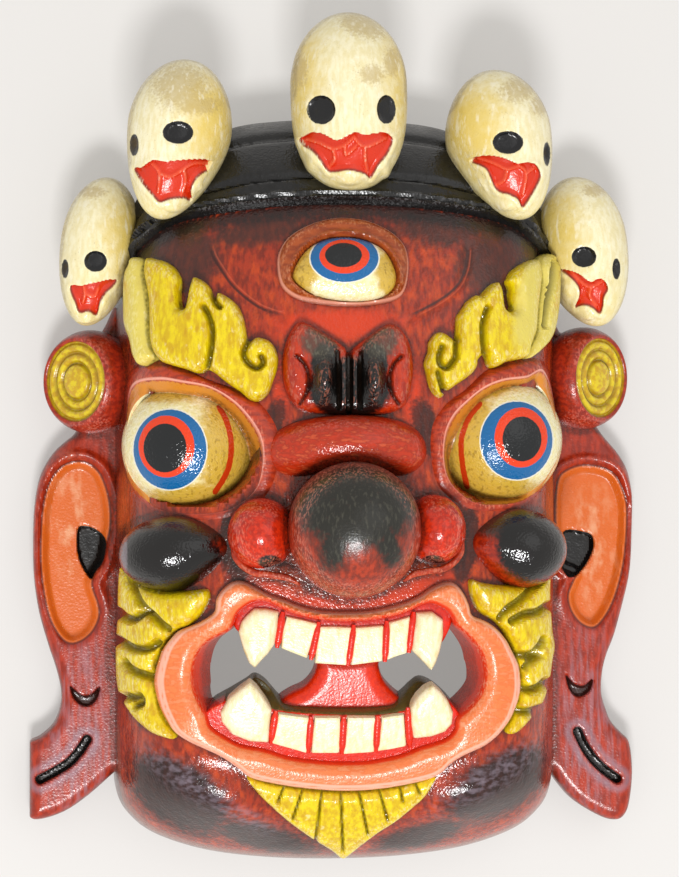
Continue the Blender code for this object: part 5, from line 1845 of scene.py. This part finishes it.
# the olive on the lower gum's ledge behind the teeth is painted shade
Painter("gum_red", "#E02402", "#CE1C02").coat("ledge_shade", "#5A5228", 0.3, 0.7).finish(wear_and_sheen="#EE6A44", wash=0.3)
Painter("mouth_shade_brown", "#24120C", "#180B08").finish(wash=0.3)
Painter("tongue_red", "#E02E03", "#CE2403").finish(wear_and_sheen="#EE7A58", wash=0.4)

# %% Nose, cheeks and frown
bridge_red = Painter("bridge_red_brushed", "#BA3212", "#94240C", ACROSS)
# painted shade along the bridge's lower side, over the nose ball
bridge_red.coat("shade_between_forms", "#281512", wobble=0.6).streaks("#DC5C30", 1.6, ACROSS, 0.52, 0.66, 0.6)
bridge_red.finish(wear_and_sheen="#EC9584", gloss=0.16, grain=1.2)
wing_red = Painter("wing_red", "#CE2C08", "#A82008")
# the dark nostril patch is painted shade in place of a carved opening
wing_red.coat("nostril", "#160A09").finish(wear_and_sheen="#EC8468", gloss=0.18, grain=0.6)
nose = Painter("nose_red_and_black_brushed", "#A83414", "#7A2410", DOWN)
nose.coat("black", "#201F19", 0.15, 0.9, 0.8, 2.6).streaks("#5C5A4C", 1.1, DOWN, 0.5, 0.7, 0.35, "black")
nose.finish(wear_and_sheen="#E08A72", grain=0.6, gloss=0.34)
cheek = Painter("cheek_black_over_red", "#AA2C0C", "#861C08")
cheek.coat("brown", "#3E2216", 0.15, 0.85, 0.7).coat("black", "#080606", 0.2, 0.8, 0.6)
# the grey band on the cheek's outer end is a painted highlight
cheek.coat("rim", "#7C6E76", 0.3, 0.9, 0.5, strength=0.8).finish(gloss=0.12, coat=0.4, grain=1.1)
frown_paint = Painter("frown_red_and_black", "#B83008", "#98220A", DOWN)
frown_paint.coat("black", "#080605", 0.25, 0.75, 0.5).coat("fade", "#3E3A30", 0.2, 0.9, 0.8, 2.0, 0.85)
frown_paint.streaks("#7A7460", 0.8, DOWN, 0.5, 0.64, 0.4, "fade")
frown_paint.finish(gloss=0.12, coat=0.4, grain=1.4, wear_and_sheen="#C07058")

# %% Black, bone and yellow
crown_black = Painter("crown_black_lacquer", "#0C0C0C", "#161617", DOWN)
crown_black.coat("side", "#262424", 0.3, 0.9, 0.6)
# the pale grey on the crown's high edges, the bead above all, is a painted glint
crown_black.finish(wear_and_sheen="#77777A", wash_colour="#050505", gloss=0.24, grain=0.8)
bone = Painter("bone_paint_brushed", "#F1E9C4", "#E8DCAC", DOWN)
# the yellow on the skulls' turned-away sides is painted shade
bone.coat("side_shade", "#DCBE4C", 0.30, 0.95, 0.6, 4.0, 0.8).coat("low", "#DEC972", 0.5, 1.1, 0.5, 4.0, 0.6)
bone.coat("rubbed", "#B8A16A", -0.05, 0.55, 1.3, 1.0, 0.6).specks("#6E5B38", 0.66, 0.45, 0.5)
bone.streaks("#F6F1DA", 2.2, DOWN, 0.55, 0.68, 0.5)
# the lighter red along the ridges in the skulls' mouths is a painted highlight
bone.edge("mouth", "#D22E0A").line("ridge", "#EE5A34", 0.0, 0.5, 0.8, 0.5)
bone.line("mouth", "#40180E", 0.1, 0.15, 0.7, 0.15)
bone.edge("socket", "#0C0D10").finish(wear_and_sheen="#F3ECCB", wash=0.5, wash_colour="#6A5220", reach=(0.5, 2.2))
yellow = Painter("yellow_paint_brushed", "#E2CA0A", "#CDAA08", DOWN)
yellow.streaks("#B88210", 2.6, (0.8, 0.45, 1.0), 0.52, 0.7, 0.5)
yellow.coat("pale", "#DCCC66", 0.1, 0.9, 0.8, 2.5, 0.85)
# the pale streaks on the yellow are brush strokes and also painted highlights
yellow.streaks("#EDE2A6", 2.4, (1.0, 0.6, 1.0), 0.6, 0.74, 0.5).specks("#6E6418", 0.67, 0.5, 0.5)
yellow.finish(wear_and_sheen="#F2E6A0", wash=0.75, wash_colour="#4A4410", gloss=0.2, grain=0.9)

# %% Eyes and teeth
eye = Painter("eye_enamel", "#F1E9C0", "#E8DC9E")
eye.coat("ochre", "#C8A01C", 0.0, 0.8, 0.9, 2.6, 0.9)
eye.streaks("#7E5E14", 1.6, (1.0, 0.6, 1.0), 0.52, 0.66, 0.5, "ochre")
eye.specks("#4E4012", 0.66, 0.4, 0.5)
eye.edge("blue", "#E6E4D4", -0.45).edge("blue", "#08609A").edge("red", "#E23A08").edge("pupil", "#0E1215")
eye.edge("stroke", "#BC340A").finish(wash=0.5, gloss=0.12, coat=0.35, wash_colour="#2A2010", grain=1.5)
teeth = Painter("tooth_cream", "#F0E9C6", "#E6DBAC", DOWN)
teeth.streaks("#DCCB80", 2.0, DOWN, 0.5, 0.66, 0.4).specks("#8E7A4E", 0.66, 0.5, 0.5)
teeth.finish(wear_and_sheen="#F7F2DC", wash=0.45, wash_colour="#6E5420")

# %% Ears and studs
ear_paint = Painter("ear_red_brushed", "#AC3012", "#8A220C", DOWN)
ear_paint.streaks("#A07078", 2.2, (1.3, 0.14, 1.0), 0.38, 0.68, 0.65, "lobe").edge("scoop", "#D4641C")
# pale streaks on the scoops are a painted highlight
ear_paint.streaks("#EAB48C", 2.6, (0.8, 0.4, 1.0), 0.44, 0.74, 0.6, "shine")
ear_paint.line("scoop", "#5E1A0C", 0.0, 0.4, 0.85, 0.3).edge("hole", "#0A0808").edge("crescent", "#3E1610")
ear_paint.line("slit", "#8E7E8C", -2.0, 1.2, 0.5, 1.2).edge("slit", "#0E0908")
ear_paint.finish(wear_and_sheen="#DC6A4E", wash=0.7)
stud_paint = Painter("stud_red_and_yellow", "#AA2C10", "#861E0C")
stud_face = {0: stud_paint.painted("radius", 15.6, 15.2), 1: stud_paint.painted("along", -3.0, -2.4)}
stud_face = node(stud_paint.tree, "Math", stud_face, operation="MULTIPLY")
yellows = {0: stud_paint.mottled(2.5, 0.4, 0.6, detail=4.0), 6: linear("#DCC416"), 7: linear("#C49C12")}
stud_paint.lay(node(stud_paint.tree, "Mix", yellows, 2, data_type="RGBA"), stud_face)
for at, width in ((14.6, 0.5), (11.0, 0.9), (7.0, 0.9)):
    stud_paint.line("radius", "#86620E", at, width, 0.6, 0.8)
stud_paint.finish(wear_and_sheen="#E8806A", wash=0.5)

# %% Every piece gets its paint and its body
# Each row is a material, its slot in the record, and how the names of its pieces start
PAINTED_PIECES = (
    ("red_lacquer_brushed", "red_lacquer", ("mask_face",)),
    ("crown_black_lacquer", "black_lacquer", ("crown",)),
    ("lid_red_brushed", "red_lacquer", ("lid", "nostril")),
    ("third_lid_brown_brushed", "red_lacquer", ("third_lid",)),
    ("eye_enamel", "bone_paint", ("eye", "third_eye")),
    ("yellow_paint_brushed", "yellow_paint", ("brow", "beard", "goatee")),
    ("lip_vermilion_brushed", "red_lacquer", ("lips",)),
    ("gum_red", "red_lacquer", ("gum",)),
    ("tongue_red", "red_lacquer", ("tongue",)),
    ("mouth_shade_brown", "black_lacquer", ("mouth",)),
    ("tooth_cream", "bone_paint", ("teeth", "fangs")),
    ("nose_red_and_black_brushed", "red_lacquer", ("nose",)),
    ("bridge_red_brushed", "red_lacquer", ("bridge",)),
    ("cheek_black_over_red", "black_lacquer", ("cheek",)),
    ("wing_red", "red_lacquer", ("wing",)),
    ("frown_red_and_black", "black_lacquer", ("frown",)),
    ("ear_red_brushed", "red_lacquer", ("ear",)),
    ("stud_red_and_yellow", "yellow_paint", ("stud",)),
    ("bone_paint_brushed", "bone_paint", ("skull",)),
)
for thing in PIECES:
    material, slot, _ = next(row for row in PAINTED_PIECES if thing.name.startswith(row[2]))
    thing.data.materials.append(bpy.data.materials[material])
    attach(thing, "root")
    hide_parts("mask")
print("paints:", len(PAINTED_PIECES))

# %% [markdown]
# ## A plain table and soft light
# The photograph has a pale ground that almost has no shadows, and pale grey shows through the
# mouth, as on a photographer's light table. So our floor glows faintly. The main light comes
# from the chin side: it is small enough to give glints on the lower halves of the bulging forms.

# %% Floor and lights
FLOOR_HALF = 3.0
floor_mesh = bpy.data.meshes.new("floor")
corners = ((-1, -1), (1, -1), (1, 1), (-1, 1))
floor_mesh.from_pydata([(x * FLOOR_HALF, y * FLOOR_HALF, 0) for x, y in corners], [], [(0, 1, 2, 3)])
floor = bpy.data.objects.new("floor", floor_mesh)
floor_paint = bpy.data.materials.new("light_table_of_milky_glass")
floor_paint.use_nodes = True
milky = {"Base Color": linear("#B2B0AE"), "Roughness": 0.8}
glow = {"Emission Color": linear("#FFFDFA"), "Emission Strength": 0.30}
filled(floor_paint.node_tree.nodes["Principled BSDF"], {**milky, **glow})
floor_mesh.materials.append(floor_paint)
bpy.context.scene.collection.objects.link(floor)

LIGHTS = (
    ("window_light", (-0.12, -0.80, 1.65), (0.42, 0.34), 24.0),
    ("fill_light", (0.9, 0.7, 1.6), (1.4, 1.4), 3.0),
)
AIM = (0.0, 0.0, 0.03)
for name, place, size, power in LIGHTS:
    lamp = bpy.data.lights.new(name, "AREA")
    lamp.shape = "RECTANGLE"
    lamp.size, lamp.size_y = size
    lamp.energy = power
    lamp_object = bpy.data.objects.new(name, lamp)
    lamp_object.location = place
    way = [a - b for a, b in zip(AIM, place)]
    lamp_object.rotation_euler = Vector(way).to_track_quat("-Z", "Y").to_euler()
    bpy.context.scene.collection.objects.link(lamp_object)

world = bpy.data.worlds.new("pale_room")
world.use_nodes = True
filled(world.node_tree.nodes["Background"], {"Color": linear("#FBF8F4"), "Strength": 0.68})
bpy.context.scene.world = world
bpy.context.scene.view_settings.view_transform = "Standard"
print("lights:", len(LIGHTS))
